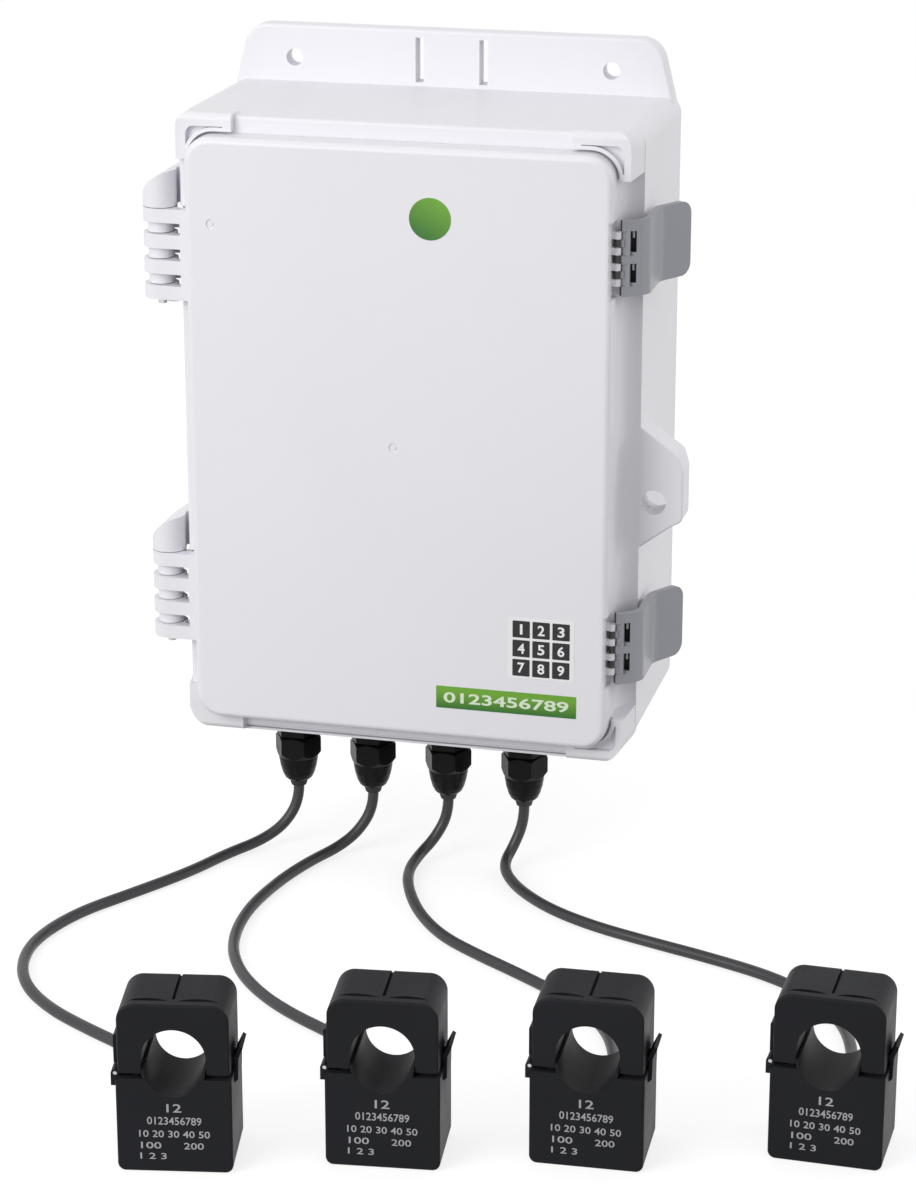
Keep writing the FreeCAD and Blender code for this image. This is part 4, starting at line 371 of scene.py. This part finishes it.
# %% Plastics and rubbers that show
case_plastic = moulded("case plastic", (0.81, 0.80, 0.84), (0.80, 0.79, 0.83), gloss=(0.38, 0.42),
                       grain_scale=900.0, grain_depth=0.0000004, specular=0.35)
cover_plastic = moulded("cover plastic", (0.81, 0.80, 0.84), (0.795, 0.785, 0.825), gloss=(0.36, 0.40),
                        grain_scale=900.0, grain_depth=0.0000008)
latch_plastic = moulded("latch plastic", (0.315, 0.32, 0.355), (0.30, 0.305, 0.335), gloss=(0.32, 0.38),
                        grain_depth=0.0000005)
seal_rubber = moulded("seal rubber", (0.02, 0.02, 0.021), (0.012, 0.012, 0.012), gloss=(0.6, 0.8))
gland_nylon = moulded("gland nylon", (0.0045, 0.0045, 0.005), (0.003, 0.003, 0.0034),
                      gloss=(0.26, 0.36), grain_depth=0.0000015, specular=0.12)
cable_jacket = moulded("cable jacket", (0.036, 0.036, 0.040), (0.026, 0.026, 0.029), gloss=(0.34, 0.48))
ct_plastic = moulded("transformer plastic", (0.0165, 0.0170, 0.0200), (0.0125, 0.0130, 0.0150),
                     gloss=(0.40, 0.48), grain_depth=0.0000015, specular=0.08)
print("plastics and rubbers made")

# %% [markdown]
# In the latches' hinge the grey barrel sits deep between the cover's fingers, where it lies in shade
# and shows near black. A zone mask paints that shade onto it as a dark colour.

# %% Painted shade in the latches' hinge
HINGE_SHADE_START = 0.0777
HINGE_SHADE_END = 0.0772
PAINTED_HINGE_SHADE = (0.03, 0.03, 0.034)
# The dark tone painted on the hinge barrel is painted shade, not the latch's own colour.
paint_over(latch_plastic, -HINGE_SHADE_START, -HINGE_SHADE_END, (-1, 0, 0), PAINTED_HINGE_SHADE)
print("latch hinge darkened")

# %% [markdown]
# Behind the cover are parts that the photograph doesn't show. They get the plain finishes that
# such parts have: moulded terminals and holders, zinc-plated steel, tinned shields.

# %% Plastics inside the case
terminal_plastic = moulded("terminal plastic", (0.05, 0.22, 0.09), (0.04, 0.18, 0.075), gloss=(0.35, 0.5))
holder_plastic = moulded("holder plastic", (0.022, 0.022, 0.024), (0.014, 0.014, 0.015), gloss=(0.4, 0.55))
component_plastic = moulded("component plastic", (0.026, 0.026, 0.028), (0.016, 0.016, 0.018),
                            gloss=(0.45, 0.6))
button_plastic = moulded("button plastic", (0.46, 0.035, 0.03), (0.38, 0.028, 0.024), gloss=(0.3, 0.42))
cell_wrap = moulded("cell wrap", (0.54, 0.55, 0.58), (0.48, 0.49, 0.52), gloss=(0.2, 0.3),
                    grain_depth=0.000001)
wire_jacket = moulded("wire jacket", (0.03, 0.03, 0.032), (0.02, 0.02, 0.022), gloss=(0.35, 0.5))
DARK_BAND = (0.06, 0.06, 0.07)
CELL_BAND_START = 0.0204
CELL_BAND_END = 0.0206
for side in (-1, 1):
    paint_over(cell_wrap, CELL_BAND_START, CELL_BAND_END, (side, 0, 0), DARK_BAND)
RED_WIRE = (0.45, 0.02, 0.02)
WIRE_SPLIT = 0.0051
WIRE_SPLIT_WIDTH = 0.0002
paint_over(wire_jacket, WIRE_SPLIT, WIRE_SPLIT + WIRE_SPLIT_WIDTH, (-1, 0, 0), RED_WIRE)
print("inner plastics made")

# %% Metals
pin_steel = metal("pin steel", (0.62, 0.62, 0.63), (0.52, 0.52, 0.53), (0.2, 0.32), (2500, 2500, 60))
screw_steel = metal("screw steel", (0.66, 0.65, 0.62), (0.54, 0.54, 0.52), (0.22, 0.36),
                    (1800, 90, 1800))
plate_steel = metal("plate steel", (0.60, 0.61, 0.63), (0.52, 0.53, 0.55), (0.28, 0.42),
                    (50, 1500, 1500))
shield_tin = metal("shield tin", (0.70, 0.70, 0.71), (0.60, 0.60, 0.62), (0.22, 0.34), (1200, 1200, 60))
print("metals made")

# %% [markdown]
# The circuit board is green solder mask over copper. Brick patterns in two directions give the
# straight runs of the tracks, a noise chooses between them, and small dots are the tinned holes.
# The pattern lies in the board's own plane, so it is turned upright first.

# %% Circuit board
TRACK_SCALE = 130.0
TRACK_WIDTH = 0.06
TRACK_LENGTH = 2.3
TRACK_PITCH = 0.3
REGION_SCALE = 55.0
REGION_SPLIT = 0.5
MASK_GREEN = (0.008, 0.060, 0.024, 1)
TRACK_GREEN = (0.020, 0.135, 0.050, 1)
circuit_board, board_shader, board_place = start_material("circuit board")
board_tree = circuit_board.node_tree
upright = board_tree.nodes.new("ShaderNodeMapping")
upright.inputs["Rotation"].default_value = (math.radians(90), 0, 0)
crossed = board_tree.nodes.new("ShaderNodeMapping")
crossed.inputs["Rotation"].default_value = (0, 0, math.radians(90))
board_tree.links.new(board_place, upright.inputs["Vector"])
board_tree.links.new(upright.outputs["Vector"], crossed.inputs["Vector"])
tracks = []
for turned in (upright, crossed):
    track = board_tree.nodes.new("ShaderNodeTexBrick")
    track.inputs["Scale"].default_value = TRACK_SCALE
    track.inputs["Mortar Size"].default_value = TRACK_WIDTH
    track.inputs["Brick Width"].default_value = TRACK_LENGTH
    track.inputs["Row Height"].default_value = TRACK_PITCH
    board_tree.links.new(turned.outputs["Vector"], track.inputs["Vector"])
    tracks.append(track)
region = board_tree.nodes.new("ShaderNodeTexNoise")
region.inputs["Scale"].default_value = REGION_SCALE
choose = board_tree.nodes.new("ShaderNodeMath")
choose.operation = "GREATER_THAN"
choose.inputs[1].default_value = REGION_SPLIT
track_mask = board_tree.nodes.new("ShaderNodeMix")
board_tree.links.new(board_place, region.inputs["Vector"])
board_tree.links.new(region.outputs["Fac"], choose.inputs[0])
board_tree.links.new(choose.outputs["Value"], track_mask.inputs["Factor"])
board_tree.links.new(tracks[0].outputs["Fac"], track_mask.inputs["A"])
board_tree.links.new(tracks[1].outputs["Fac"], track_mask.inputs["B"])
mask_green = board_tree.nodes.new("ShaderNodeMix")
mask_green.data_type = "RGBA"
mask_green.inputs["A"].default_value = MASK_GREEN
mask_green.inputs["B"].default_value = TRACK_GREEN
board_tree.links.new(track_mask.outputs["Result"], mask_green.inputs["Factor"])
print("tracks", len(tracks))

# %% Tinned holes and the board's relief
HOLE_SCALE = 240.0
HOLE_RADIUS = 0.13
TIN_TONE = (0.62, 0.60, 0.55, 1)
BOARD_GLOSS = (0.25, 0.38)
TRACK_RELIEF = 0.00004
holes = board_tree.nodes.new("ShaderNodeTexVoronoi")
holes.inputs["Scale"].default_value = HOLE_SCALE
hole_edge = board_tree.nodes.new("ShaderNodeMath")
hole_edge.operation = "LESS_THAN"
hole_edge.inputs[1].default_value = HOLE_RADIUS
with_holes = board_tree.nodes.new("ShaderNodeMix")
with_holes.data_type = "RGBA"
with_holes.inputs["B"].default_value = TIN_TONE
board_gloss = place_group(circuit_board, smudge)
board_gloss.inputs["Low"].default_value = BOARD_GLOSS[0]
board_gloss.inputs["High"].default_value = BOARD_GLOSS[1]
board_bump = board_tree.nodes.new("ShaderNodeBump")
board_bump.inputs["Distance"].default_value = TRACK_RELIEF
board_tree.links.new(upright.outputs["Vector"], holes.inputs["Vector"])
board_tree.links.new(holes.outputs["Distance"], hole_edge.inputs[0])
board_tree.links.new(hole_edge.outputs["Value"], with_holes.inputs["Factor"])
board_tree.links.new(mask_green.outputs["Result"], with_holes.inputs["A"])
board_tree.links.new(with_holes.outputs["Result"], board_shader.inputs["Base Color"])
board_tree.links.new(board_place, board_gloss.inputs["Vector"])
board_tree.links.new(board_gloss.outputs["Roughness"], board_shader.inputs["Roughness"])
board_tree.links.new(track_mask.outputs["Result"], board_bump.inputs["Height"])
board_tree.links.new(board_bump.outputs["Normal"], board_shader.inputs["Normal"])
print("circuit board made")

# %% [markdown]
# A transformer's core is a stack of thin iron sheets, and its winding is held by turns of tape.
# Both show as narrow bands, so a wave pattern gives their colour and their relief. Only the
# direction and the width of the bands differ.

# %% Core and winding
BAND_WAVER = 0.4
SHEETS_SCALE = 450.0
SHEETS_RELIEF = 0.00003
TAPE_SCALE = 110.0
TAPE_RELIEF = 0.00005
WINDING_VARNISH = 0.3


def banded(name, light, dark, gloss, axis, scale, depth):
    """A finish with fine parallel bands across one axis."""
    material, shader, place = start_material(name)
    tree = material.node_tree
    bands = tree.nodes.new("ShaderNodeTexWave")
    bands.bands_direction = axis
    bands.inputs["Scale"].default_value = scale
    bands.inputs["Distortion"].default_value = BAND_WAVER
    mixed = tree.nodes.new("ShaderNodeMix")
    mixed.data_type = "RGBA"
    mixed.inputs["A"].default_value = (*dark, 1)
    mixed.inputs["B"].default_value = (*light, 1)
    rough = place_group(material, smudge)
    rough.inputs["Low"].default_value = gloss[0]
    rough.inputs["High"].default_value = gloss[1]
    bump = tree.nodes.new("ShaderNodeBump")
    bump.inputs["Distance"].default_value = depth
    tree.links.new(place, bands.inputs["Vector"])
    tree.links.new(place, rough.inputs["Vector"])
    tree.links.new(bands.outputs["Fac"], mixed.inputs["Factor"])
    tree.links.new(bands.outputs["Fac"], bump.inputs["Height"])
    tree.links.new(mixed.outputs["Result"], shader.inputs["Base Color"])
    tree.links.new(rough.outputs["Roughness"], shader.inputs["Roughness"])
    tree.links.new(bump.outputs["Normal"], shader.inputs["Normal"])
    return material, shader


core_iron, core_shader = banded("core iron", (0.36, 0.36, 0.38), (0.12, 0.12, 0.13), (0.3, 0.45),
                                "Y", SHEETS_SCALE, SHEETS_RELIEF)
core_shader.inputs["Metallic"].default_value = 1.0
winding_tape, winding_shader = banded("winding tape", (0.62, 0.38, 0.07), (0.42, 0.24, 0.04),
                                      (0.3, 0.42), "X", TAPE_SCALE, TAPE_RELIEF)
winding_shader.inputs["Coat Weight"].default_value = WINDING_VARNISH
print("core and winding made")

# %% [markdown]
# The status lamps are small green lenses. They are moulded like the rest, only smoother, and a
# plain transmission on the shader lets light through them.

# %% Lamp lenses
LENS_CLEARNESS = 0.6
lamp_lens = moulded("lamp lens", (0.12, 0.70, 0.22), (0.08, 0.58, 0.16), gloss=(0.08, 0.18),
                    grain_depth=0.0000005)
shader_of(lamp_lens).inputs["Transmission Weight"].default_value = LENS_CLEARNESS
print("lamp lenses made")

# %% [markdown]
# Each solid gets one material for its whole surface. The four transformers are alike, so a loop
# adds their names.

# %% Which finish each solid gets
FINISHES = {
    "back_case": case_plastic, "front_cover": cover_plastic,
    "latch_upper": latch_plastic, "latch_lower": latch_plastic,
    "lid_gasket": seal_rubber, "gland_washers": seal_rubber, "gland_seals": seal_rubber,
    "gland_bodies": gland_nylon, "gland_nuts": gland_nylon, "gland_locknuts": gland_nylon,
    "inner_leads": cable_jacket, "ct_cable_boots": ct_plastic,
    "cover_hinge_pins": pin_steel, "latch_pins": pin_steel, "ct_hinge_pins": pin_steel,
    "mounting_plate": plate_steel, "plate_screws": screw_steel, "board_standoffs": screw_steel,
    "board_screws": screw_steel, "terminal_screws": screw_steel, "main_board": circuit_board,
    "terminal_block": terminal_plastic, "battery_holder": holder_plastic, "battery_cells": cell_wrap,
    "battery_plug": component_plastic, "battery_lead": wire_jacket, "antenna": component_plastic,
    "buzzer": component_plastic, "storage_capacitors": component_plastic,
    "processor": component_plastic, "button_housing": component_plastic,
    "radio_module": shield_tin, "status_leds": lamp_lens, "test_button": button_plastic,
    "ct_cores": core_iron, "ct_coils": winding_tape,
}
for number in range(1, len(CABLE_ROUTES) + 1):
    FINISHES["ct_base_" + str(number)] = ct_plastic
    FINISHES["ct_cap_" + str(number)] = ct_plastic
    FINISHES["ct_cap_core_" + str(number)] = core_iron
for name, finish in FINISHES.items():
    for slot in nodes[name].material_slots:
        slot.material = finish
for cable in cables:
    cable.data.materials.append(cable_jacket)
print("finishes given to", len(FINISHES), "of", len(nodes), "nodes")

# %% [markdown]
# The marks on the cover are thin printed films. A film is a flat outline that is extruded by its
# real thickness, and its rim is softened by a small bevel. It is drawn lying down, then stood up
# against the cover, and only its mesh is moved.

# %% Helpers for films
FILM_THICKNESS = 0.00012
FILM_SINK = 0.00002
RIM_SOFTENING = 0.00004
COVER_FRONT_Y = -0.090


def add_piece(name, mesh, body, material):
    """Link a finished mesh as a piece that moves with a body."""
    mesh.materials.append(material)
    piece = bpy.data.objects.new(name, mesh)
    bpy.context.scene.collection.objects.link(piece)
    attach(piece, body)


def raise_film(outline, thickness):
    """Give a flat outline its thickness and a soft rim, and make it a mesh."""
    grown = bmesh.ops.extrude_face_region(outline, geom=outline.faces[:], use_keep_orig=True)
    top = [part for part in grown["geom"] if isinstance(part, bmesh.types.BMVert)]
    bmesh.ops.translate(outline, verts=top, vec=(0, 0, thickness))
    bmesh.ops.recalc_face_normals(outline, faces=outline.faces[:])
    top_set = set(top)
    rim = [edge for edge in outline.edges if edge.verts[0] in top_set and edge.verts[1] in top_set]
    bmesh.ops.bevel(outline, geom=rim, offset=RIM_SOFTENING, segments=1, profile=0.5, material=-1,
                    affect="EDGES")
    mesh = bpy.data.meshes.new("film")
    outline.to_mesh(mesh)
    outline.free()
    return mesh


def rounded_film(width, height, corner, thickness=FILM_THICKNESS):
    """A film with four rounded corners, lying down round its middle."""
    outline = bmesh.new()
    bmesh.ops.create_grid(outline, x_segments=1, y_segments=1, size=0.5)
    bmesh.ops.scale(outline, verts=outline.verts, vec=(width, height, 1))
    bmesh.ops.bevel(outline, geom=outline.verts[:], offset=corner, segments=4, profile=0.5,
                    material=-1, affect="VERTICES")
    return raise_film(outline, thickness)


def stand_up(mesh, x, y, z, turn=0.0):
    """Stand a lying mesh up so that it faces the front, turned about Z, at a place."""
    place = Matrix.Translation((x, y, z)) @ Matrix.Rotation(turn, 4, "Z")
    mesh.transform(place @ Matrix.Rotation(math.radians(90), 4, "X"))
    return mesh


print("film helpers ready")

# %% [markdown]
# Numbers come from Blender's own plain font. A text object is turned into a mesh while it still
# lies at the origin, given its size, and its loose seams are merged so that it is closed.

# %% Helper for numbers
NUMBER_THICKNESS = 0.00004
RAW_EXTRUSION = 0.01
FONT_STEPS = 3
SEAM_DISTANCE = 0.0001


def number_mesh(words, height, width, bold):
    """Plain numbers as a closed mesh, round the origin, with a height and a width."""
    text = bpy.data.curves.new("numbers", "FONT")
    text.body = words
    text.extrude = RAW_EXTRUSION
    text.offset = bold
    text.resolution_u = FONT_STEPS
    lying = bpy.data.objects.new("numbers", text)
    mesh = bpy.data.meshes.new_from_object(lying)
    bpy.data.objects.remove(lying)
    shape = bmesh.new()
    shape.from_mesh(mesh)
    bmesh.ops.remove_doubles(shape, verts=shape.verts, dist=SEAM_DISTANCE)
    low = Vector([min(v.co[i] for v in shape.verts) for i in range(3)])
    high = Vector([max(v.co[i] for v in shape.verts) for i in range(3)])
    bmesh.ops.translate(shape, verts=shape.verts, vec=-(low + high) / 2)
    size = high - low
    bmesh.ops.scale(shape, verts=shape.verts,
                    vec=(width / size.x, height / size.y, NUMBER_THICKNESS / size.z))
    bmesh.ops.recalc_face_normals(shape, faces=shape.faces[:])
    shape.to_mesh(mesh)
    shape.free()
    return mesh


print("number helper ready")

# %% [markdown]
# The round mark near the top of the cover is a plain green disc, light at its upper right and dark
# at its lower left. The strip below is the same green, lighter along its top. Both are printed, so
# their tone runs smoothly, which the zone mask gives.

# %% Green prints
DISC_PLACE = (0.0132, 0.0812)
DISC_RADIUS = 0.0073
STRIP_PLACE = (0.0402, -0.0899)
STRIP_SIZE = (0.0504, 0.0082)
STRIP_CORNER = 0.0003
GREEN_LIGHT = (0.150, 0.370, 0.030)
GREEN_DARK = (0.020, 0.150, 0.016)
GREEN_DRIFT = 0.85


def green_print(name, direction, start, end):
    """Printed green that runs from dark to light along a direction."""
    drifted = tuple(GREEN_DRIFT * v for v in GREEN_DARK)
    material = moulded(name, GREEN_DARK, drifted, gloss=(0.3, 0.4), grain_depth=0.000001)
    paint_over(material, start, end, direction, GREEN_LIGHT)
    return material


DISC_DIRECTION = Vector((0.5, 0, 0.866))
disc_middle = DISC_DIRECTION.dot(Vector((DISC_PLACE[0], 0, DISC_PLACE[1])))
disc_green = green_print("disc green", DISC_DIRECTION, disc_middle - DISC_RADIUS,
                         disc_middle + DISC_RADIUS)
strip_green = green_print("strip green", Vector((0, 0, 1)), STRIP_PLACE[1] - STRIP_SIZE[1] / 2,
                          STRIP_PLACE[1] + STRIP_SIZE[1] / 4)

disc_outline = bmesh.new()
bmesh.ops.create_circle(disc_outline, cap_ends=True, segments=96, radius=DISC_RADIUS)
disc_mesh = stand_up(raise_film(disc_outline, FILM_THICKNESS), DISC_PLACE[0],
                     COVER_FRONT_Y + FILM_SINK, DISC_PLACE[1])
add_piece("cover_disc", disc_mesh, "cover", disc_green)
strip_mesh = stand_up(rounded_film(*STRIP_SIZE, STRIP_CORNER), STRIP_PLACE[0],
                      COVER_FRONT_Y + FILM_SINK, STRIP_PLACE[1])
add_piece("cover_strip", strip_mesh, "cover", strip_green)
print("disc and strip on the cover")

# %% [markdown]
# The white label carries nine dark squares with plain numbers, and the strip carries plain numbers
# in a pale ink. Inks are matt, with a little mottling.

# %% Label and numbers
LABEL_PLACE = (0.0527, -0.06945)
LABEL_SIZE = (0.0238, 0.0223)
LABEL_CORNER = 0.0004
SQUARE_SIZE = 0.0062
SQUARE_CORNER = 0.0003
SQUARE_PITCH = 0.0071
DIGIT_HEIGHT = 0.0038
DIGIT_WIDTH = 0.0025
NARROW_DIGIT_WIDTH = 0.0009
STRIP_NUMBERS_HEIGHT = 0.0040
STRIP_NUMBERS_WIDTH = 0.0450
COVER_BOLD = 0.02
INK_LIFT = FILM_THICKNESS - FILM_SINK

label_white = moulded("label white", (0.86, 0.86, 0.87), (0.83, 0.83, 0.845), gloss=(0.4, 0.5))
black_ink = moulded("black ink", (0.010, 0.010, 0.011), (0.006, 0.006, 0.007), gloss=(0.5, 0.6))
white_ink = moulded("white ink", (0.74, 0.83, 0.66), (0.66, 0.77, 0.58), gloss=(0.5, 0.6))

label_mesh = stand_up(rounded_film(*LABEL_SIZE, LABEL_CORNER), LABEL_PLACE[0],
                      COVER_FRONT_Y + FILM_SINK, LABEL_PLACE[1])
add_piece("cover_label", label_mesh, "cover", label_white)
square_top = COVER_FRONT_Y - INK_LIFT
for number in range(9):
    x = LABEL_PLACE[0] + (number % 3 - 1) * SQUARE_PITCH
    z = LABEL_PLACE[1] + (1 - number // 3) * SQUARE_PITCH
    square = rounded_film(SQUARE_SIZE, SQUARE_SIZE, SQUARE_CORNER, thickness=NUMBER_THICKNESS)
    add_piece("label_square_" + str(number + 1), stand_up(square, x, square_top, z),
              "cover", black_ink)
    digit_width = NARROW_DIGIT_WIDTH if number == 0 else DIGIT_WIDTH
    digit = number_mesh(str(number + 1), DIGIT_HEIGHT, digit_width, COVER_BOLD)
    add_piece("label_number_" + str(number + 1),
              stand_up(digit, x, square_top - NUMBER_THICKNESS, z),
              "cover", label_white)
strip_numbers = number_mesh("0123456789", STRIP_NUMBERS_HEIGHT, STRIP_NUMBERS_WIDTH, COVER_BOLD)
add_piece("strip_numbers", stand_up(strip_numbers, STRIP_PLACE[0], square_top, STRIP_PLACE[1]),
          "cover", white_ink)
print("label and numbers on the cover")

# %% [markdown]
# Each transformer has a few lines of small print on its front. Here they are plain numbers in a
# light grey ink. The four fronts are turned a little differently, so the lines are stood up with
# each transformer's own turn. A front is given by its middle and its turn in degrees, and a line
# by its words, its offset to the right, its height over the floor, and its own height and width.

# %% Numbers on the transformers
CT_BOLD = 0.008
FLOOR_OF_PART = -0.166
CT_FRONTS = [(-0.0105, -0.3110, 10.5), (0.0497, -0.2935, 6.5), (0.1095, -0.2787, 2.5),
             (0.1795, -0.2594, -1.5)]
CT_LINES = [
    ("12", 0.0, 0.0215, 0.0028, 0.0045), ("0123456789", 0.0, 0.0172, 0.0026, 0.0165),
    ("10 20 30 40 50", 0.0, 0.0128, 0.0023, 0.0215), ("100", -0.0072, 0.0089, 0.0022, 0.0062),
    ("200", 0.0058, 0.0089, 0.0022, 0.0060), ("1 2 3", -0.0066, 0.0053, 0.0021, 0.0080),
]
grey_ink = moulded("grey ink", (0.42, 0.42, 0.43), (0.32, 0.32, 0.33), gloss=(0.5, 0.62))
for number, (front_x, front_y, degrees) in enumerate(CT_FRONTS, 1):
    turn = math.radians(degrees)
    for line, (words, offset, up, height, width) in enumerate(CT_LINES, 1):
        mesh = stand_up(number_mesh(words, height, width, CT_BOLD),
                        front_x + offset * math.cos(turn), front_y + offset * math.sin(turn),
                        FLOOR_OF_PART + up, turn)
        add_piece("ct_" + str(number) + "_numbers_" + str(line), mesh, "case", grey_ink)
print("lines of numbers", len(CT_FRONTS) * len(CT_LINES))

# %% [markdown]
# Two moon-shaped hollows flank the slit in each transformer's top. They lie in deep shade and are the
# deepest black on it, so each gets a near-black matt lining of painted shade: a circle cut by the straight
# front edge, raised to a thin film that lies on the hollow's floor.

# %% Painted shade in the hollows
HOLLOW_HALF_WIDTH = 0.00625
HOLLOW_DEPTH = 0.0018
HOLLOW_FRONT = 0.0042
HOLLOW_FLOOR = 0.0535
HOLLOW_INSET = 0.00015
HOLLOW_MIDDLES = (-0.00755, 0.00755)
hollow_radius = (HOLLOW_HALF_WIDTH ** 2 + HOLLOW_DEPTH ** 2) / (2 * HOLLOW_DEPTH)
# The lining's near-black colour is painted shade in the hollow.
hollow_painted_shade = moulded("hollow lining painted shade", (0.0022, 0.0022, 0.0024), (0.0014, 0.0014, 0.0016),
                       gloss=(0.8, 0.9), specular=0.02)
for number, (front_x, front_y, degrees) in enumerate(CT_FRONTS, 1):
    for side, middle in enumerate(HOLLOW_MIDDLES, 1):
        moon = bmesh.new()
        bmesh.ops.create_circle(moon, cap_ends=True, segments=192,
                                radius=hollow_radius - HOLLOW_INSET)
        bmesh.ops.translate(moon, verts=moon.verts, vec=(0, HOLLOW_DEPTH - hollow_radius, 0))
        everything = moon.verts[:] + moon.edges[:] + moon.faces[:]
        bmesh.ops.bisect_plane(moon, geom=everything, plane_co=(0, HOLLOW_INSET, 0),
                               plane_no=(0, -1, 0), clear_outer=True)
        moon_mesh = raise_film(moon, FILM_THICKNESS)
        place = Matrix.Translation((front_x, front_y, FLOOR_OF_PART + HOLLOW_FLOOR))
        turn = Matrix.Rotation(math.radians(degrees), 4, "Z")
        moon_mesh.transform(place @ turn @ Matrix.Translation((middle, HOLLOW_FRONT, 0)))
        add_piece("ct_" + str(number) + "_hollow_" + str(side), moon_mesh,
                  "ct_" + str(number) + "_lid", hollow_painted_shade)
print("hollow linings", len(CT_FRONTS) * len(HOLLOW_MIDDLES))

# %% [markdown]
# Behind each latch's windows there is only shade, so a black block stands there as painted shade, with a
# shallow tray in it. It is a block whose front is inset and pushed in, and whose edges are rounded.

# %% Painted shade behind the latch windows
BACK_LOW = (0.0783, -0.0775, -0.010)
BACK_HIGH = (0.0824, -0.0745, 0.010)
LATCH_CENTRES = {"upper_latch": 0.0695, "lower_latch": -0.0695}
TRAY_RIM = 0.0005
TRAY_DEPTH = 0.0008
BACK_ROUND = 0.0003

# This black block is painted shade behind the latch windows.
latch_back_painted_shade = moulded("latch back painted shade", (0.010, 0.010, 0.012), (0.006, 0.006, 0.007), gloss=(0.5, 0.65))
back_size = Vector(BACK_HIGH) - Vector(BACK_LOW)
back_middle = (Vector(BACK_HIGH) + Vector(BACK_LOW)) / 2
for body, centre_z in LATCH_CENTRES.items():
    block = bmesh.new()
    bmesh.ops.create_cube(block, size=1.0)
    bmesh.ops.scale(block, verts=block.verts, vec=back_size)
    front = [face for face in block.faces if face.normal.y < -0.9]
    bmesh.ops.inset_region(block, faces=front, thickness=TRAY_RIM, depth=0)
    bmesh.ops.translate(block, verts=front[0].verts, vec=(0, TRAY_DEPTH, 0))
    bmesh.ops.bevel(block, geom=block.edges[:], offset=BACK_ROUND, segments=2, profile=0.5,
                    material=-1, affect="EDGES")
    bmesh.ops.translate(block, verts=block.verts, vec=back_middle + Vector((0, 0, centre_z)))
    back_mesh = bpy.data.meshes.new(body + "_back")
    block.to_mesh(back_mesh)
    block.free()
    add_piece(body + "_back", back_mesh, body, latch_back_painted_shade)
print("latch backs", len(LATCH_CENTRES))

# %% [markdown]
# The object stands in a plain white studio. Its floor is bright to the camera but still takes a
# soft shadow, so part of its white is a glow that the camera sees, also in reflections and through
# the lenses, but that adds no light to matt surfaces.

# %% Floor
FLOOR_Z = -0.16605
FLOOR_HALF_SIZE = 30.0
FLOOR_TONE = (0.32, 0.32, 0.32, 1)
FLOOR_ROUGHNESS = 0.9
FLOOR_GLOW = 0.76
floor_shape = bmesh.new()
bmesh.ops.create_grid(floor_shape, x_segments=1, y_segments=1, size=FLOOR_HALF_SIZE)
bmesh.ops.translate(floor_shape, verts=floor_shape.verts, vec=(0, 0, FLOOR_Z))
floor_mesh = bpy.data.meshes.new("floor")
floor_shape.to_mesh(floor_mesh)
floor_shape.free()
floor = bpy.data.objects.new("floor", floor_mesh)
bpy.context.scene.collection.objects.link(floor)

floor_material, floor_shader = start_material("floor")[:2]
floor_shader.inputs["Base Color"].default_value = FLOOR_TONE
floor_shader.inputs["Roughness"].default_value = FLOOR_ROUGHNESS
floor_shader.inputs["Specular IOR Level"].default_value = 0.0
floor_shader.inputs["Emission Color"].default_value = (1, 1, 1, 1)


def seen_by_eye(tree):
    """1 for camera, transmission and glossy rays, and 0 for the rays that only carry light."""
    ray = tree.nodes.new("ShaderNodeLightPath")
    so_far = ray.outputs["Is Camera Ray"]
    for ray_kind in ("Is Transmission Ray", "Is Glossy Ray"):
        either = tree.nodes.new("ShaderNodeMath")
        either.operation = "MAXIMUM"
        tree.links.new(so_far, either.inputs[0])
        tree.links.new(ray.outputs[ray_kind], either.inputs[1])
        so_far = either.outputs["Value"]
    return so_far


glow = floor_material.node_tree.nodes.new("ShaderNodeMath")
glow.operation = "MULTIPLY"
glow.inputs[1].default_value = FLOOR_GLOW
floor_material.node_tree.links.new(seen_by_eye(floor_material.node_tree), glow.inputs[0])
floor_material.node_tree.links.new(glow.outputs["Value"], floor_shader.inputs["Emission Strength"])
floor.data.materials.append(floor_material)
print("floor at", FLOOR_Z)

# %% [markdown]
# The world is an even white. The camera and reflections see it at full strength, and it lights matt
# surfaces a little less. A large key lamp stands at the front left, and a weaker one at the right
# lifts the case's side.

# %% World and lamps
WORLD_LIGHT = 0.74
WORLD_SEEN = 1.0
LAMP_AIM = (0, -0.1, -0.02)
KEY_PLACE = (-0.7, -1.3, 0.55)
KEY_POWER = 12.5
KEY_SIZE = 0.9
SIDE_PLACE = (1.3, 0.45, 0.35)
SIDE_POWER = 4.4
SIDE_SIZE = 0.8
world = bpy.data.worlds.new("studio")
bpy.context.scene.world = world
world.use_nodes = True
background = world.node_tree.nodes["Background"]
background.inputs["Color"].default_value = (1, 1, 1, 1)
level = world.node_tree.nodes.new("ShaderNodeMapRange")
level.inputs["To Min"].default_value = WORLD_LIGHT
level.inputs["To Max"].default_value = WORLD_SEEN
world.node_tree.links.new(seen_by_eye(world.node_tree), level.inputs["Value"])
world.node_tree.links.new(level.outputs["Result"], background.inputs["Strength"])


def place_lamp(name, place, power, size):
    """A soft square lamp that faces the object."""
    light = bpy.data.lights.new(name, "AREA")
    light.shape = "RECTANGLE"
    light.size = size
    light.size_y = size
    light.energy = power
    lamp = bpy.data.objects.new(name, light)
    lamp.location = place
    lamp.rotation_mode = "QUATERNION"
    lamp.rotation_quaternion = (Vector(LAMP_AIM) - Vector(place)).to_track_quat("-Z", "Y")
    bpy.context.scene.collection.objects.link(lamp)


place_lamp("key", KEY_PLACE, KEY_POWER, KEY_SIZE)
place_lamp("side", SIDE_PLACE, SIDE_POWER, SIDE_SIZE)
bpy.context.scene.view_settings.view_transform = "Standard"
print("lamps placed")

# %% [markdown]
# At the end the view layer is updated, so that the scene is finished.

# %% The end
bpy.context.view_layer.update()
